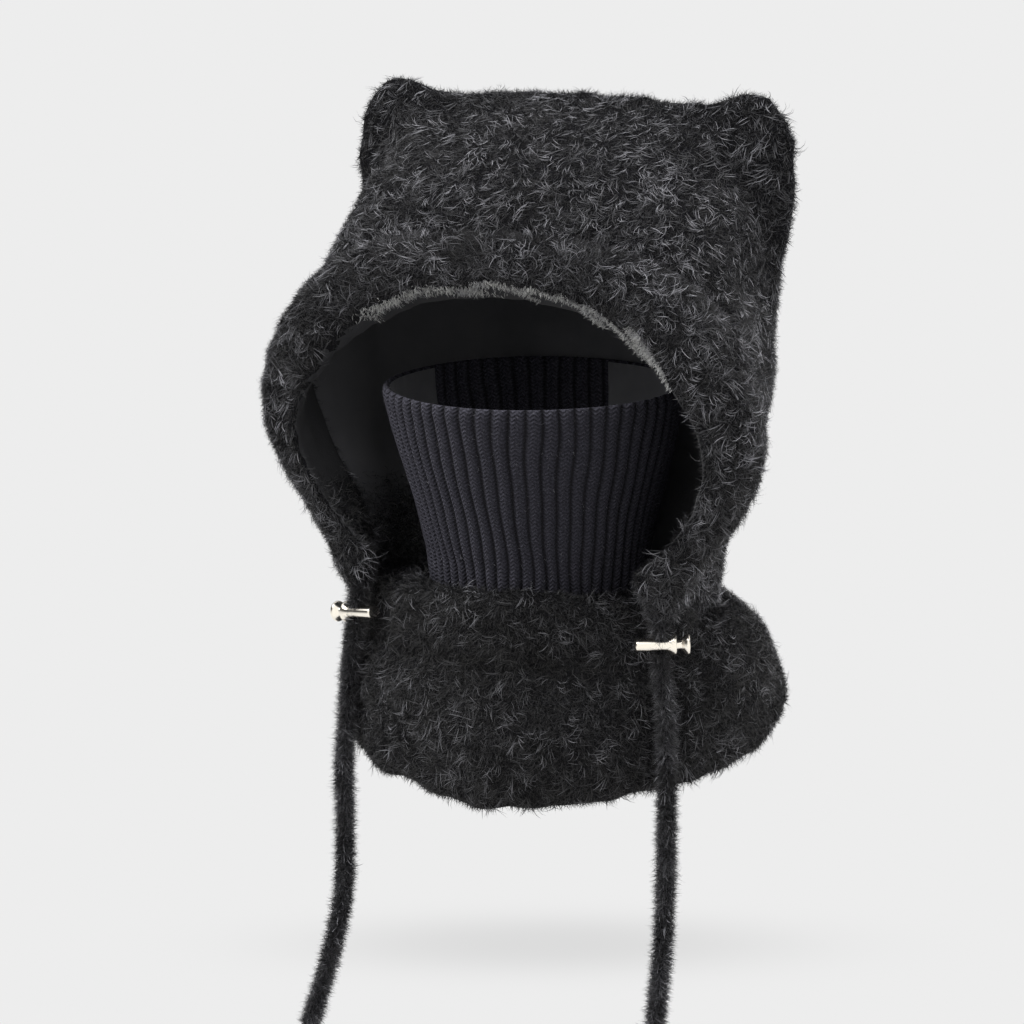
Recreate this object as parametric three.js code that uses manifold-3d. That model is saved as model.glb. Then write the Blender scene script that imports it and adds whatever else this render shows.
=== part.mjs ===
// Hooded scarf: a fuzzy knit hood with cat-ear corners, a ribbed neck tube, a shoulder cape and two drawstrings
// with metal cord locks. Millimetres, +Z up, the face looks along -Y, +X is the wearer's left.
// All tables give z below the ear tips. The finished group is lifted so that z = 0 is the inside of the crown.

import * as THREE from "three";
import ManifoldModule from "manifold-3d";

const wasm = await ManifoldModule();
wasm.setup();
const { Manifold } = wasm;

const EAR_TIP_Z = 10.5;
const HOOD_WALL = 4.0;
const LAYER_GAP = 0.5;
const LINING_WALL = 2.0;
const SEAM_GAP = 0.5;

function table(columns, rows) {
  return rows.map((row) => Object.fromEntries(columns.map((name, i) => [name, row[i]])));
}

// Smooth curve through a table's rows that never overshoots (monotone cubic), read at any value of its key column.
function readTable(rows, key, at) {
  const last = rows.length - 1;
  const rising = rows[last][key] > rows[0][key] ? 1 : -1;
  const t = Math.min(Math.max(at * rising, rows[0][key] * rising), rows[last][key] * rising);
  let k = 0;
  while (k < last - 1 && rows[k + 1][key] * rising < t) {
    k += 1;
  }
  const step = (i) => (rows[i + 1][key] - rows[i][key]) * rising;
  const h = step(k);
  const s = (t - rows[k][key] * rising) / h;
  const out = {};
  for (const name of Object.keys(rows[0])) {
    if (name === key) {
      continue;
    }
    const slope = (i) => (rows[i + 1][name] - rows[i][name]) / step(i);
    const tangent = (i) => {
      if (i === 0) {
        return slope(0);
      }
      if (i === last) {
        return slope(last - 1);
      }
      const before = slope(i - 1);
      const after = slope(i);
      return before * after <= 0 ? 0 : (2 * before * after) / (before + after);
    };
    const a = rows[k][name];
    const b = rows[k + 1][name];
    const s2 = s * s;
    const s3 = s2 * s;
    out[name] = a * (2 * s3 - 3 * s2 + 1) + h * tangent(k) * (s3 - 2 * s2 + s)
      + b * (3 * s2 - 2 * s3) + h * tangent(k + 1) * (s3 - s2);
  }
  return out;
}

function smoothstep(low, high, value) {
  const t = Math.min(Math.max((value - low) / (high - low), 0), 1);
  return t * t * (3 - 2 * t);
}

// The hood as a bag: half width and depths of its level sections, with the section's centre at y = middle.
// `corner` is the power of the section's front half: above 2 its front corners are fuller than an ellipse.
// `flare` is how far the sides swing out towards the brim.
const BAG = table(
  ["z", "middle", "half_width", "front", "back", "corner", "flare"],
  [
    [0, 40, 70, 0.5, 0.5, 2.1, 0],
    [-3, 38, 84, 8, 7, 2.1, 0],
    [-8, 37, 92, 17, 14, 2.1, 0],
    [-16, 35, 99, 31, 25, 2.1, 0],
    [-30, 31, 107, 49, 42, 2.1, 0],
    [-50, 26, 116, 64, 60, 2.8, 0],
    [-75, 21, 125, 73, 76, 3.4, 0],
    [-100, 17, 131, 82, 88, 3.8, 3],
    [-130, 13, 135, 92, 95, 3.9, 9],
    [-165, 10, 136, 97, 97, 3.7, 13],
    [-200, 8, 131, 98, 94, 3.3, 10],
    [-235, 6, 118, 94, 88, 2.9, 5],
    [-265, 4, 111, 87, 83, 2.5, 2],
    [-298, 2, 105, 80, 79, 2.2, 0],
    [-320, 2, 101, 78, 77, 2.1, 0],
  ],
);

// The ears: the bag's two top corners, pressed flat in the plane y = EAR_PLANE.
const EAR_PLANE = 38;
const EAR = table(
  ["z", "reach", "half_thickness"],
  [
    [0, 112, 1],
    [-3, 127, 8],
    [-9, 134, 12],
    [-22, 141, 15],
    [-45, 144, 17],
    [-70, 142, 18],
    [-95, 138, 20],
    [-120, 132, 20],
    [-150, 118, 16],
    [-320, 60, 10],
  ],
);

// The top seam from the middle of the crown to an ear tip: how far it dips at each distance from the middle.
const CREST = table(
  ["x", "dip"],
  [
    [0, 5.5],
    [50, 6.5],
    [84, 10],
    [100, 10],
    [116, 2.5],
    [126, 0],
    [138, 1],
    [160, 2],
  ],
);

// The crease where the casing meets the hood, from the middle of the brim down to the jaw.
const CREASE = table(
  ["u", "x", "y", "z"],
  [
    [0, 0, -52, -80],
    [0.14, 42, -50, -83],
    [0.27, 82, -45, -92],
    [0.4, 120, -41, -112],
    [0.53, 143, -36, -145],
    [0.66, 150, -32, -183],
    [0.78, 144, -31, -219],
    [0.89, 126, -30, -252],
    [1, 104, -32, -283],
  ],
);

// The profile from the crown's middle along the top seam, round the ear and down the side to the neck.
const SIDE = table(
  ["u", "x", "y", "z"],
  [
    [0, 0, 38, -4],
    [0.1, 42, 38, -5],
    [0.2, 84, 38, -8],
    [0.27, 104, 38, -7],
    [0.34, 126, 38, -2],
    [0.41, 142, 38, -28],
    [0.5, 143, 38, -75],
    [0.62, 134, 34, -130],
    [0.75, 132, 26, -185],
    [0.87, 122, 14, -238],
    [1, 104, 2, -298],
  ],
);

// The middle line down the back of the hood.
const SPINE = table(
  ["u", "x", "y", "z"],
  [
    [0, 0, 66, -22],
    [0.2, 0, 82, -42],
    [0.4, 0, 98, -78],
    [0.6, 0, 107, -130],
    [0.8, 0, 104, -205],
    [0.9, 0, 94, -250],
    [1, 0, 81, -298],
  ],
);

// The inner edge of the face opening with the casing's thickness, on the same scale of u as the crease.
const OPENING = table(
  ["u", "x", "y", "z", "puff"],
  [
    [0, 0, -51, -117, 10],
    [0.14, 36, -53, -119.5, 10],
    [0.27, 69, -57, -130, 10.5],
    [0.4, 100, -62, -149, 11.5],
    [0.53, 123, -66, -175, 12.5],
    [0.66, 135, -66, -204, 12.5],
    [0.78, 128, -63, -231, 11],
    [0.89, 109, -61, -258, 9],
    [1, 82, -61, -278, 9],
  ],
);

const CROWN_CENTRE = new THREE.Vector3(0, 38, -130);
const BAG_ROWS = 22;
const BAG_COLUMNS = [
  0, 0.1, 0.2, 0.29, 0.36, 0.41, 0.45, 0.475, 0.5, 0.525, 0.55, 0.6, 0.67, 0.75, 0.84, 0.92, 1,
];

function sectionRadius(angle, halfWidth, depth, power) {
  const across = Math.abs(Math.cos(angle)) / halfWidth;
  const along = Math.abs(Math.sin(angle)) / depth;
  return (across ** power + along ** power) ** (-1 / power);
}

// Distance from a level section's edge, or a plain outside distance where the section has shrunk to nothing.
function sectionDistance(x, y, halfWidth, depth, power) {
  const least = Math.min(halfWidth, depth);
  if (least < 0.3) {
    return Math.hypot(x, y) + 1 - least;
  }
  return Math.hypot(x, y) - sectionRadius(Math.atan2(y, x), halfWidth, depth, power);
}

function smoothMin(a, b, blend) {
  const h = Math.max(blend - Math.abs(a - b), 0) / blend;
  return Math.min(a, b) - h * h * blend * 0.25;
}

// Signed distance to the bag, drawn in by `shrink` all round. The top seam's dip fades out down the sides.
function bagDistance(p, shrink) {
  const side = Math.abs(p.x);
  const dip = readTable(CREST, "x", side).dip * smoothstep(-90, -10, p.z);
  const level = p.z + dip + shrink;
  if (level > 0) {
    return level + 1;
  }
  const bag = readTable(BAG, "z", level);
  const dy = p.y - bag.middle;
  const x = side - bag.flare * smoothstep(10, -35, p.y) * smoothstep(30, 110, side);
  const depth = dy < 0 ? bag.front : bag.back;
  const power = dy < 0 ? bag.corner : 2.1;
  const body = sectionDistance(x, dy, bag.half_width - shrink, depth - shrink, power);
  const ear = readTable(EAR, "z", level);
  const ey = p.y - EAR_PLANE;
  const flap = sectionDistance(side, ey, ear.reach - shrink, ear.half_thickness - shrink, 2.4);
  return smoothMin(body, flap, 9);
}

// The lining leaves the hood's back and comes forward to the neck tube's back, where it is sewn to the rim.
const LINING_BACK = table(
  ["z", "y"],
  [
    [0, 200],
    [-95, 130],
    [-120, 100],
    [-145, 86],
    [-165, 80.5],
    [-200, 76.5],
    [-240, 70],
    [-320, 58],
  ],
);

function liningDistance(p, shrink) {
  const back = readTable(LINING_BACK, "z", p.z).y;
  const panel = p.y - (back + HOOD_WALL - p.x * p.x * 0.0008) + shrink;
  return -smoothMin(-bagDistance(p, shrink), -panel, 14);
}

function castRay(origin, direction, distance, shrink) {
  let low = 0;
  let high = 330;
  const p = new THREE.Vector3();
  for (let i = 0; i < 40; i += 1) {
    const mid = (low + high) / 2;
    p.copy(origin).addScaledVector(direction, mid);
    if (distance(p, shrink) < 0) {
      low = mid;
    } else {
      high = mid;
    }
  }
  return p.clone();
}

function point(row) {
  return new THREE.Vector3(row.x, row.y, row.z);
}

// The point of the bag at u (brim to neck) and v (casing to spine). High rows turn about the crown's centre.
// Low rows stay level, so the neck edge is a plain ring.
function bagPoint(u, v, distance, shrink) {
  const ends = v < 0.5
    ? [point(readTable(CREASE, "u", u)), point(readTable(SIDE, "u", u))]
    : [point(readTable(SIDE, "u", u)), point(readTable(SPINE, "u", u))];
  const t = v < 0.5 ? v * 2 : v * 2 - 1;
  const from = ends[0].clone().sub(CROWN_CENTRE).normalize();
  const to = ends[1].clone().sub(CROWN_CENTRE).normalize();
  const turn = Math.acos(Math.min(Math.max(from.dot(to), -1), 1));
  const direction = turn < 1e-4
    ? from.clone()
    : from.clone().multiplyScalar(Math.sin((1 - t) * turn)).addScaledVector(to, Math.sin(t * turn)).normalize();
  const high = castRay(CROWN_CENTRE, direction, distance, shrink);
  const level = smoothstep(0.4, 0.75, u);
  if (level === 0) {
    if (u === 0 || v === 1) {
      high.x = 0;
    }
    return high;
  }
  const z = ends[0].z + (ends[1].z - ends[0].z) * t;
  const middle = readTable(BAG, "z", z).middle;
  const azimuth = (end) => Math.atan2(end.y - middle, end.x);
  const angle = azimuth(ends[0]) + (azimuth(ends[1]) - azimuth(ends[0])) * t;
  const axis = new THREE.Vector3(0, middle, z);
  const low = castRay(axis, new THREE.Vector3(Math.cos(angle), Math.sin(angle), 0), distance, shrink);
  const blended = high.lerp(low, level);
  if (v === 1) {
    blended.x = 0;
  }
  if (level < 1) {
    const outward = blended.clone().sub(CROWN_CENTRE).normalize();
    const moved = castRay(CROWN_CENTRE, outward, distance, shrink);
    if (v === 1) {
      moved.x = 0;
    }
    return moved;
  }
  return blended;
}

class MeshBuilder {
  constructor() {
    this.points = [];
    this.faces = [];
  }

  add(p) {
    this.points.push([p.x, p.y, p.z]);
    return this.points.length - 1;
  }

  grid(rows) {
    return rows.map((row) => row.map((p) => this.add(p)));
  }

  triangle(a, b, c, flip = false) {
    this.faces.push(flip ? [c, b, a] : [a, b, c]);
  }

  // Both sides of a wall are split along the same diagonals, so its thickness stays even.
  sheet(rows, closed, flip) {
    for (let i = 0; i + 1 < rows.length; i += 1) {
      const count = rows[i].length;
      for (let j = 0; j < (closed ? count : count - 1); j += 1) {
        const k = (j + 1) % count;
        this.triangle(rows[i][j], rows[i][k], rows[i + 1][k], flip);
        this.triangle(rows[i][j], rows[i + 1][k], rows[i + 1][j], flip);
      }
    }
  }

  // A strip between two lines of points, which may differ in number.
  strip(first, second, flip) {
    let i = 0;
    let j = 0;
    while (i + 1 < first.length || j + 1 < second.length) {
      const nextFirst = (i + 1) / (first.length - 1);
      const nextSecond = (j + 1) / (second.length - 1);
      const useFirst = j + 1 >= second.length || (i + 1 < first.length && nextFirst <= nextSecond);
      const corner = useFirst ? first[i + 1] : second[j + 1];
      this.triangle(first[i], corner, second[j], flip);
      if (useFirst) {
        i += 1;
      } else {
        j += 1;
      }
    }
  }

  geometry() {
    const welded = new Map();
    const points = [];
    const index = this.points.map((p) => {
      const key = p.map((value) => Math.round(value * 500)).join(",");
      if (!welded.has(key)) {
        welded.set(key, points.length / 3);
        points.push(...p);
      }
      return welded.get(key);
    });
    const faces = this.faces
      .map((face) => face.map((i) => index[i]))
      .filter(([a, b, c]) => a !== b && b !== c && a !== c);
    let volume = 0;
    for (const [a, b, c] of faces) {
      const [p, q, r] = [a, b, c].map((i) => new THREE.Vector3(...points.slice(i * 3, i * 3 + 3)));
      volume += p.dot(q.cross(r));
    }
    const geometry = new THREE.BufferGeometry();
    geometry.setAttribute("position", new THREE.Float32BufferAttribute(points, 3));
    geometry.setIndex(faces.flatMap((face) => (volume < 0 ? [face[0], face[2], face[1]] : face)));
    return geometry;
  }
}

function mirrored(rows) {
  return rows.map((row) => row.map((p) => new THREE.Vector3(-p.x, p.y, p.z)));
}

function everySecond(list) {
  return list.filter((_, i) => i % 2 === 0);
}

// A wall between an outer and an inner surface, built for one side and mirrored to the other.
function bagShell(outerRows, innerRows) {
  const mesh = new MeshBuilder();
  for (const flip of [false, true]) {
    const outer = mesh.grid(flip ? mirrored(outerRows) : outerRows);
    const inner = mesh.grid(flip ? mirrored(innerRows) : innerRows);
    mesh.sheet(outer, false, flip);
    mesh.sheet(inner, false, !flip);
    mesh.strip(outer.map((row) => row[0]), inner.map((row) => row[0]), flip);
    mesh.strip(outer.at(-1), inner.at(-1), flip);
  }
  return mesh.geometry();
}

// Every layer uses the same rows and columns, so the layers stay evenly apart. `start` sets back its front edge,
// `end` its neck edge.
function bagRows(columns, start, end, distance, shrink) {
  return Array.from({ length: BAG_ROWS + 1 }, (_, i) => {
    const u = Math.min(i / BAG_ROWS, end);
    return columns.map((v) => bagPoint(u, Math.max(v, start), distance, shrink));
  });
}

const EVEN_COLUMNS = everySecond(BAG_COLUMNS);
const HOOD_START = 0.02;
const LINING_START = 0.026;
const LINING_END = 0.985;

function buildHood() {
  const outer = bagRows(BAG_COLUMNS, HOOD_START, 1, bagDistance, 0);
  const inner = bagRows(EVEN_COLUMNS, HOOD_START, 1, bagDistance, HOOD_WALL);
  return bagShell(outer, inner);
}

function buildLining() {
  const shrink = HOOD_WALL + LAYER_GAP;
  const outer = bagRows(EVEN_COLUMNS, LINING_START, LINING_END, liningDistance, shrink);
  const inner = bagRows(EVEN_COLUMNS, LINING_START, LINING_END, liningDistance, shrink + LINING_WALL);
  return bagShell(outer, inner);
}

// The casing: a puffed roll between the opening's edge and the crease, full on the outside and nearly flat on
// the inside, with a tunnel through it for the cord.
const CASING_WALL = 4.2;
const CASING_SIDES = 12;
const TUNNEL_SIDES = 6;
const CASING_SECTIONS = 36;
const CASING_LIFT = 0.8;

function casingFrame(s) {
  const u = Math.abs(s);
  const row = readTable(OPENING, "u", u);
  const side = s < 0 ? -1 : 1;
  const edge = new THREE.Vector3(row.x * side, row.y, row.z);
  const crease = bagPoint(u, 0, bagDistance, HOOD_WALL / 2);
  crease.x = u < 1e-6 ? 0 : crease.x * side;
  return { edge, crease, puff: row.puff };
}

function buildCasing() {
  const frames = Array.from({ length: CASING_SECTIONS + 1 }, (_, i) => casingFrame((i / CASING_SECTIONS) * 2 - 1));
  const outer = [];
  const tunnel = [];
  frames.forEach((frame, i) => {
    const before = frames[Math.max(i - 1, 0)];
    const after = frames[Math.min(i + 1, CASING_SECTIONS)];
    const along = after.edge.clone().add(after.crease).sub(before.edge).sub(before.crease).normalize();
    const wide = frame.crease.clone().sub(frame.edge);
    const reach = wide.length() / 2 - SEAM_GAP;
    wide.normalize();
    wide.addScaledVector(along, -wide.dot(along)).normalize();
    const out = new THREE.Vector3().crossVectors(along, wide).normalize();
    const centre = frame.edge.clone().add(frame.crease).multiplyScalar(0.5);
    const lift = CASING_LIFT * frame.puff;
    const fromMiddle = Math.abs(i - CASING_SECTIONS / 2);
    const gather = 1 + 0.05 * Math.sin(fromMiddle * 2.4) * Math.sin(fromMiddle * 0.9);
    const ring = (sides, major, minor, level) => Array.from({ length: sides }, (_, k) => {
      const a = (k / sides) * Math.PI * 2;
      const rise = lift * (level + (1 - level) * Math.sin(a) ** 2);
      return centre.clone()
        .addScaledVector(wide, Math.cos(a) * major)
        .addScaledVector(out, Math.sin(a) * minor + rise);
    });
    outer.push(ring(CASING_SIDES, reach, frame.puff * gather, 0));
    tunnel.push(ring(TUNNEL_SIDES, reach - CASING_WALL * 1.6, frame.puff - CASING_WALL, 0.5));
  });
  const mesh = new MeshBuilder();
  const outside = mesh.grid(outer);
  const inside = mesh.grid(tunnel);
  mesh.sheet(outside, true, false);
  mesh.sheet(inside, true, true);
  const loop = (ring) => [...ring, ring[0]];
  mesh.strip(loop(outside[0]), loop(inside[0]), true);
  mesh.strip(loop(outside.at(-1)), loop(inside.at(-1)), false);
  return mesh.geometry();
}

// The ribbed neck tube: level rings from the rim at the nose to the neck seam.
const RIBS = 56;
const RIB_DEPTH = 1.3;
const GAITER_WALL = 3.0;
const GAITER = table(
  ["z", "middle", "half_width", "half_depth"],
  [
    [-171, -14, 89.0, 89],
    [-176, -14, 89.2, 89.3],
    [-205, -12, 83, 83],
    [-240, -10, 74, 73],
    [-272, -8, 67, 65],
    [-304, -7, 63.5, 61.5],
  ],
);

function buildGaiter() {
  const count = RIBS * 2;
  const ringAt = (row, inset) => Array.from({ length: count }, (_, k) => {
    const a = (k / count) * Math.PI * 2;
    const rib = k % 2 === 0 ? RIB_DEPTH / 2 : -RIB_DEPTH / 2;
    const nose = row.z > -200 ? 2.5 * Math.sin(a) : 1.2 * Math.sin(a);
    return new THREE.Vector3(
      Math.cos(a) * (row.half_width + rib - inset),
      row.middle + Math.sin(a) * (row.half_depth + rib - inset),
      row.z + nose,
    );
  });
  const mesh = new MeshBuilder();
  const outside = mesh.grid(GAITER.map((row) => ringAt(row, 0)));
  const inside = mesh.grid(GAITER.map((row) => ringAt(row, GAITER_WALL)));
  mesh.sheet(outside, true, false);
  mesh.sheet(inside, true, true);
  mesh.sheet([outside[0], inside[0]], true, true);
  mesh.sheet([outside.at(-1), inside.at(-1)], true, false);
  return mesh.geometry();
}

// The cape: rings from the neck seam over the puffed roll and the fold to the hem.
// Its hem hangs lower in front than over the shoulders and the back.
const CAPE_WALL = 5.0;
const CAPE_COLUMNS = 44;
const CAPE = table(
  ["ring", "middle", "half_width", "front", "back", "corner", "z_front", "z_side", "z_back"],
  [
    [0, -7, 67.3, 65, 64.5, 2.05, -287, -290, -292],
    [1, -5, 77, 71.5, 71, 2.0, -284.5, -294, -297],
    [2, -1, 101, 79, 82, 1.85, -290, -299.5, -300.5],
    [3, 2, 113, 82, 95, 1.7, -302, -303, -303.5],
    [4, 3, 124, 82, 104, 1.65, -317, -311, -310],
    [5, 5, 132, 81, 112, 1.7, -331, -325, -319],
    [6, 8, 137, 89, 120, 1.8, -349, -342, -329],
    [7, 11, 140, 96, 127, 1.8, -375, -361, -338],
    [8, 13, 138, 96, 129, 1.8, -403, -378, -344],
    [9, 14, 134, 92, 126, 1.8, -412, -386, -350],
  ],
);

function buildCape() {
  const profile = (a) => CAPE.map((row) => {
    const forward = Math.sin(a) < 0;
    const share = Math.abs(Math.sin(a));
    const power = forward ? row.corner : 2.1;
    const radius = sectionRadius(a, row.half_width, forward ? row.front : row.back, power);
    const z = row.z_side + ((forward ? row.z_front : row.z_back) - row.z_side) * share;
    const drape = row.ring > 5 ? Math.sin(a * 7) * (row.ring - 5) * 0.5 : 0;
    return { radius: radius + drape, z, middle: row.middle };
  });
  const outer = [];
  const inner = [];
  for (let k = 0; k < CAPE_COLUMNS; k += 1) {
    const a = (k / CAPE_COLUMNS) * Math.PI * 2;
    const line = profile(a);
    outer.push(line.map((p) => new THREE.Vector3(Math.cos(a) * p.radius, p.middle + Math.sin(a) * p.radius, p.z)));
    inner.push(line.map((p, i) => {
      const before = line[Math.max(i - 1, 0)];
      const after = line[Math.min(i + 1, line.length - 1)];
      const run = after.radius - before.radius;
      const fall = after.z - before.z;
      const size = Math.hypot(run, fall) || 1;
      const ease = i === 0 ? 0 : 1;
      const radius = p.radius + (fall / size) * CAPE_WALL * ease;
      const z = p.z - (run / size) * CAPE_WALL - (i === 0 ? CAPE_WALL * 0.6 : 0);
      return new THREE.Vector3(Math.cos(a) * radius, p.middle + Math.sin(a) * radius, z);
    }));
  }
  const turnGrid = (columns) => CAPE.map((_, i) => columns.map((column) => column[i]));
  const mesh = new MeshBuilder();
  const outside = mesh.grid(turnGrid(outer));
  const inside = mesh.grid(turnGrid(inner));
  mesh.sheet(outside, true, false);
  mesh.sheet(inside, true, true);
  mesh.sheet([outside[0], inside[0]], true, true);
  mesh.sheet([outside.at(-1), inside.at(-1)], true, false);
  return mesh.geometry();
}

// The drawstring's centre line from inside the casing's mouth to its free end, for the wearer's left.
const CORD_RADIUS = 3.0;
const CORD_SIDES = 6;
const CORD_STEPS = 24;
const CORD_LINE = table(
  ["s", "x", "y", "z"],
  [
    [0, 96.3, -48.6, -281.7],
    [4, 95.5, -48.8, -283.4],
    [11, 96, -50, -290],
    [20, 100.4, -51, -301.5],
    [31, 101, -51.4, -313],
    [42, 101.6, -52, -324],
    [70, 105, -53, -352],
    [100, 107, -54.5, -382],
    [125, 108, -56, -407],
    [165, 107.5, -56, -447],
    [205, 107.5, -59, -487],
    [240, 109.5, -70, -520],
    [290, 114, -91, -565],
  ],
);

function sweepTube(line, radius, sides, steps) {
  const length = line.at(-1).s;
  const at = (s) => point(readTable(line, "s", s));
  const rings = Array.from({ length: steps + 1 }, (_, i) => {
    const s = (i / steps) * length;
    const centre = at(s);
    const along = at(Math.min(s + 1, length)).sub(at(Math.max(s - 1, 0))).normalize();
    const across = new THREE.Vector3(0, -1, 0).addScaledVector(along, along.y).normalize();
    const third = new THREE.Vector3().crossVectors(along, across);
    return Array.from({ length: sides }, (_, k) => {
      const a = (k / sides) * Math.PI * 2;
      return centre.clone()
        .addScaledVector(across, Math.cos(a) * radius)
        .addScaledVector(third, Math.sin(a) * radius);
    });
  });
  const mesh = new MeshBuilder();
  const grid = mesh.grid(rings);
  mesh.sheet(grid, true, false);
  const first = mesh.add(at(0));
  const last = mesh.add(at(length));
  for (let k = 0; k < sides; k += 1) {
    mesh.triangle(first, grid[0][(k + 1) % sides], grid[0][k]);
    mesh.triangle(last, grid.at(-1)[k], grid.at(-1)[(k + 1) % sides]);
  }
  return mesh.geometry();
}

// The cord lock, drawn along its own axis: x runs from the closed inner end of the barrel out to the head.
// `across` and `rise` are the half widths of its oval sections, level and upright.
const LOCK_HOLE_X = 15.0;
const LOCK_HOLE_RADIUS = 3.8;
const LOCK_SIDES = 16;
const LOCK_COLUMNS = ["x", "across", "rise"];
const BARREL = table(LOCK_COLUMNS, [
  [0, 4.6, 3.1],
  [0.9, 5.5, 3.9],
  [18.2, 5.5, 3.9],
  [20.6, 5.9, 5.3],
  [22.8, 6.3, 6.3],
  [24, 6.3, 6.3],
]);
const BARREL_BORE = table(LOCK_COLUMNS, [
  [2.2, 4.55, 3.25],
  [20.4, 4.55, 3.25],
  [22, 4.9, 4.9],
  [29, 4.9, 4.9],
]);
const PLUNGER_TRAVEL = 4.0;
const PLUNGER = table(LOCK_COLUMNS, [
  [6.8, 4.2, 2.95],
  [24.2, 4.2, 2.95],
  [26.2, 3.4, 2.9],
  [27.6, 3.9, 3.7],
  [29.6, 5.7, 5.7],
  [31, 6.3, 6.3],
  [32, 5.6, 5.6],
]);

function turned(rows) {
  const rings = rows.map((row) => Array.from({ length: LOCK_SIDES }, (_, k) => {
    const a = (k / LOCK_SIDES) * Math.PI * 2;
    return new THREE.Vector3(row.x, Math.cos(a) * row.across, Math.sin(a) * row.rise);
  }));
  const mesh = new MeshBuilder();
  const grid = mesh.grid(rings);
  mesh.sheet(grid, true, false);
  const first = mesh.add(new THREE.Vector3(rows[0].x, 0, 0));
  const last = mesh.add(new THREE.Vector3(rows.at(-1).x, 0, 0));
  for (let k = 0; k < LOCK_SIDES; k += 1) {
    mesh.triangle(first, grid[0][(k + 1) % LOCK_SIDES], grid[0][k]);
    mesh.triangle(last, grid.at(-1)[k], grid.at(-1)[(k + 1) % LOCK_SIDES]);
  }
  return mesh.geometry();
}

function toManifold(geometry) {
  const mesh = new wasm.Mesh({
    numProp: 3,
    vertProperties: new Float32Array(geometry.getAttribute("position").array),
    triVerts: new Uint32Array(geometry.getIndex().array),
  });
  mesh.merge();
  return new Manifold(mesh);
}

function fromManifold(solid) {
  const mesh = solid.getMesh();
  const geometry = new THREE.BufferGeometry();
  const points = [];
  for (let i = 0; i < mesh.numVert; i += 1) {
    points.push(...mesh.vertProperties.slice(i * mesh.numProp, i * mesh.numProp + 3));
  }
  geometry.setAttribute("position", new THREE.Float32BufferAttribute(points, 3));
  geometry.setIndex(Array.from(mesh.triVerts));
  return geometry;
}

function crossHole(radius, stretch) {
  const hole = Manifold.cylinder(30, radius, radius, 12, true);
  const moved = hole.translate([LOCK_HOLE_X, 0, 0]);
  return stretch > 0 ? moved.add(hole.translate([LOCK_HOLE_X + stretch, 0, 0])).hull() : moved;
}

function buildBarrel() {
  const bore = toManifold(turned(BARREL_BORE));
  return fromManifold(toManifold(turned(BARREL)).subtract(bore).subtract(crossHole(LOCK_HOLE_RADIUS, 0)));
}

function buildPlunger() {
  return fromManifold(toManifold(turned(PLUNGER)).subtract(crossHole(LOCK_HOLE_RADIUS, PLUNGER_TRAVEL)));
}

// Each lock lies across its cord with the head outward and a little back. The wearer's right one lies more nearly
// level with the face, and its head hangs a little.
const LOCK_CORD_S = 31;
const LOCK_AXES = {
  left: new THREE.Vector3(0.86, 0.51, 0).normalize(),
  right: new THREE.Vector3(-0.955, 0.266, -0.12).normalize(),
};

function placeLock(geometry, word, side) {
  const axis = LOCK_AXES[word];
  const seat = point(readTable(CORD_LINE, "s", LOCK_CORD_S));
  seat.x *= side;
  const across = new THREE.Vector3(0, 0, 1).cross(axis).normalize();
  const up = axis.clone().cross(across);
  const matrix = new THREE.Matrix4().makeBasis(axis, across, up);
  matrix.setPosition(seat.addScaledVector(axis, -LOCK_HOLE_X));
  geometry.applyMatrix4(matrix);
  return geometry;
}

function mirrorGeometry(geometry) {
  const copy = geometry.clone();
  copy.applyMatrix4(new THREE.Matrix4().makeScale(-1, 1, 1));
  const index = Array.from(copy.getIndex().array);
  for (let i = 0; i < index.length; i += 3) {
    [index[i], index[i + 1]] = [index[i + 1], index[i]];
  }
  copy.setIndex(index);
  return copy;
}

const LOOK = {
  fuzzy_hood_knit: 0x2b2b30,
  fuzzy_cape_knit: 0x1f1f23,
  ribbed_knit: 0x2a2b33,
  smooth_lining: 0x121214,
  fuzzy_cord: 0x25252a,
  polished_metal: 0xd8d4cc,
};

const parts = new THREE.Group();
parts.name = "hooded_scarf";

function addPart(name, geometry, look) {
  geometry.translate(0, 0, EAR_TIP_Z);
  const mesh = new THREE.Mesh(geometry, new THREE.MeshStandardMaterial({ color: LOOK[look], name: look }));
  mesh.name = name;
  parts.add(mesh);
}

addPart("hood_shell", buildHood(), "fuzzy_hood_knit");
addPart("brim_casing", buildCasing(), "fuzzy_hood_knit");
addPart("hood_lining", buildLining(), "smooth_lining");
addPart("neck_gaiter", buildGaiter(), "ribbed_knit");
addPart("shoulder_cape", buildCape(), "fuzzy_cape_knit");
for (const [side, word] of [[1, "left"], [-1, "right"]]) {
  const cord = sweepTube(CORD_LINE, CORD_RADIUS, CORD_SIDES, CORD_STEPS);
  addPart(`drawstring_${word}`, side < 0 ? mirrorGeometry(cord) : cord, "fuzzy_cord");
  addPart(`cord_lock_barrel_${word}`, placeLock(buildBarrel(), word, side), "polished_metal");
  addPart(`cord_lock_plunger_${word}`, placeLock(buildPlunger(), word, side), "polished_metal");
}

export default parts;
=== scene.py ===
"""Hooded scarf: brushed knit hood with cat-ear corners, rib-knit neck tube, shoulder cape, fuzzy
drawstrings and metal cord locks. Lengths are in metres unless a name ends in _mm."""

import math
from collections import namedtuple

import bmesh
import bpy
import numpy as np
from bpy.props import FloatProperty, FloatVectorProperty, IntProperty, PointerProperty
from mathutils import Matrix, Vector
from mathutils.kdtree import KDTree


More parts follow.
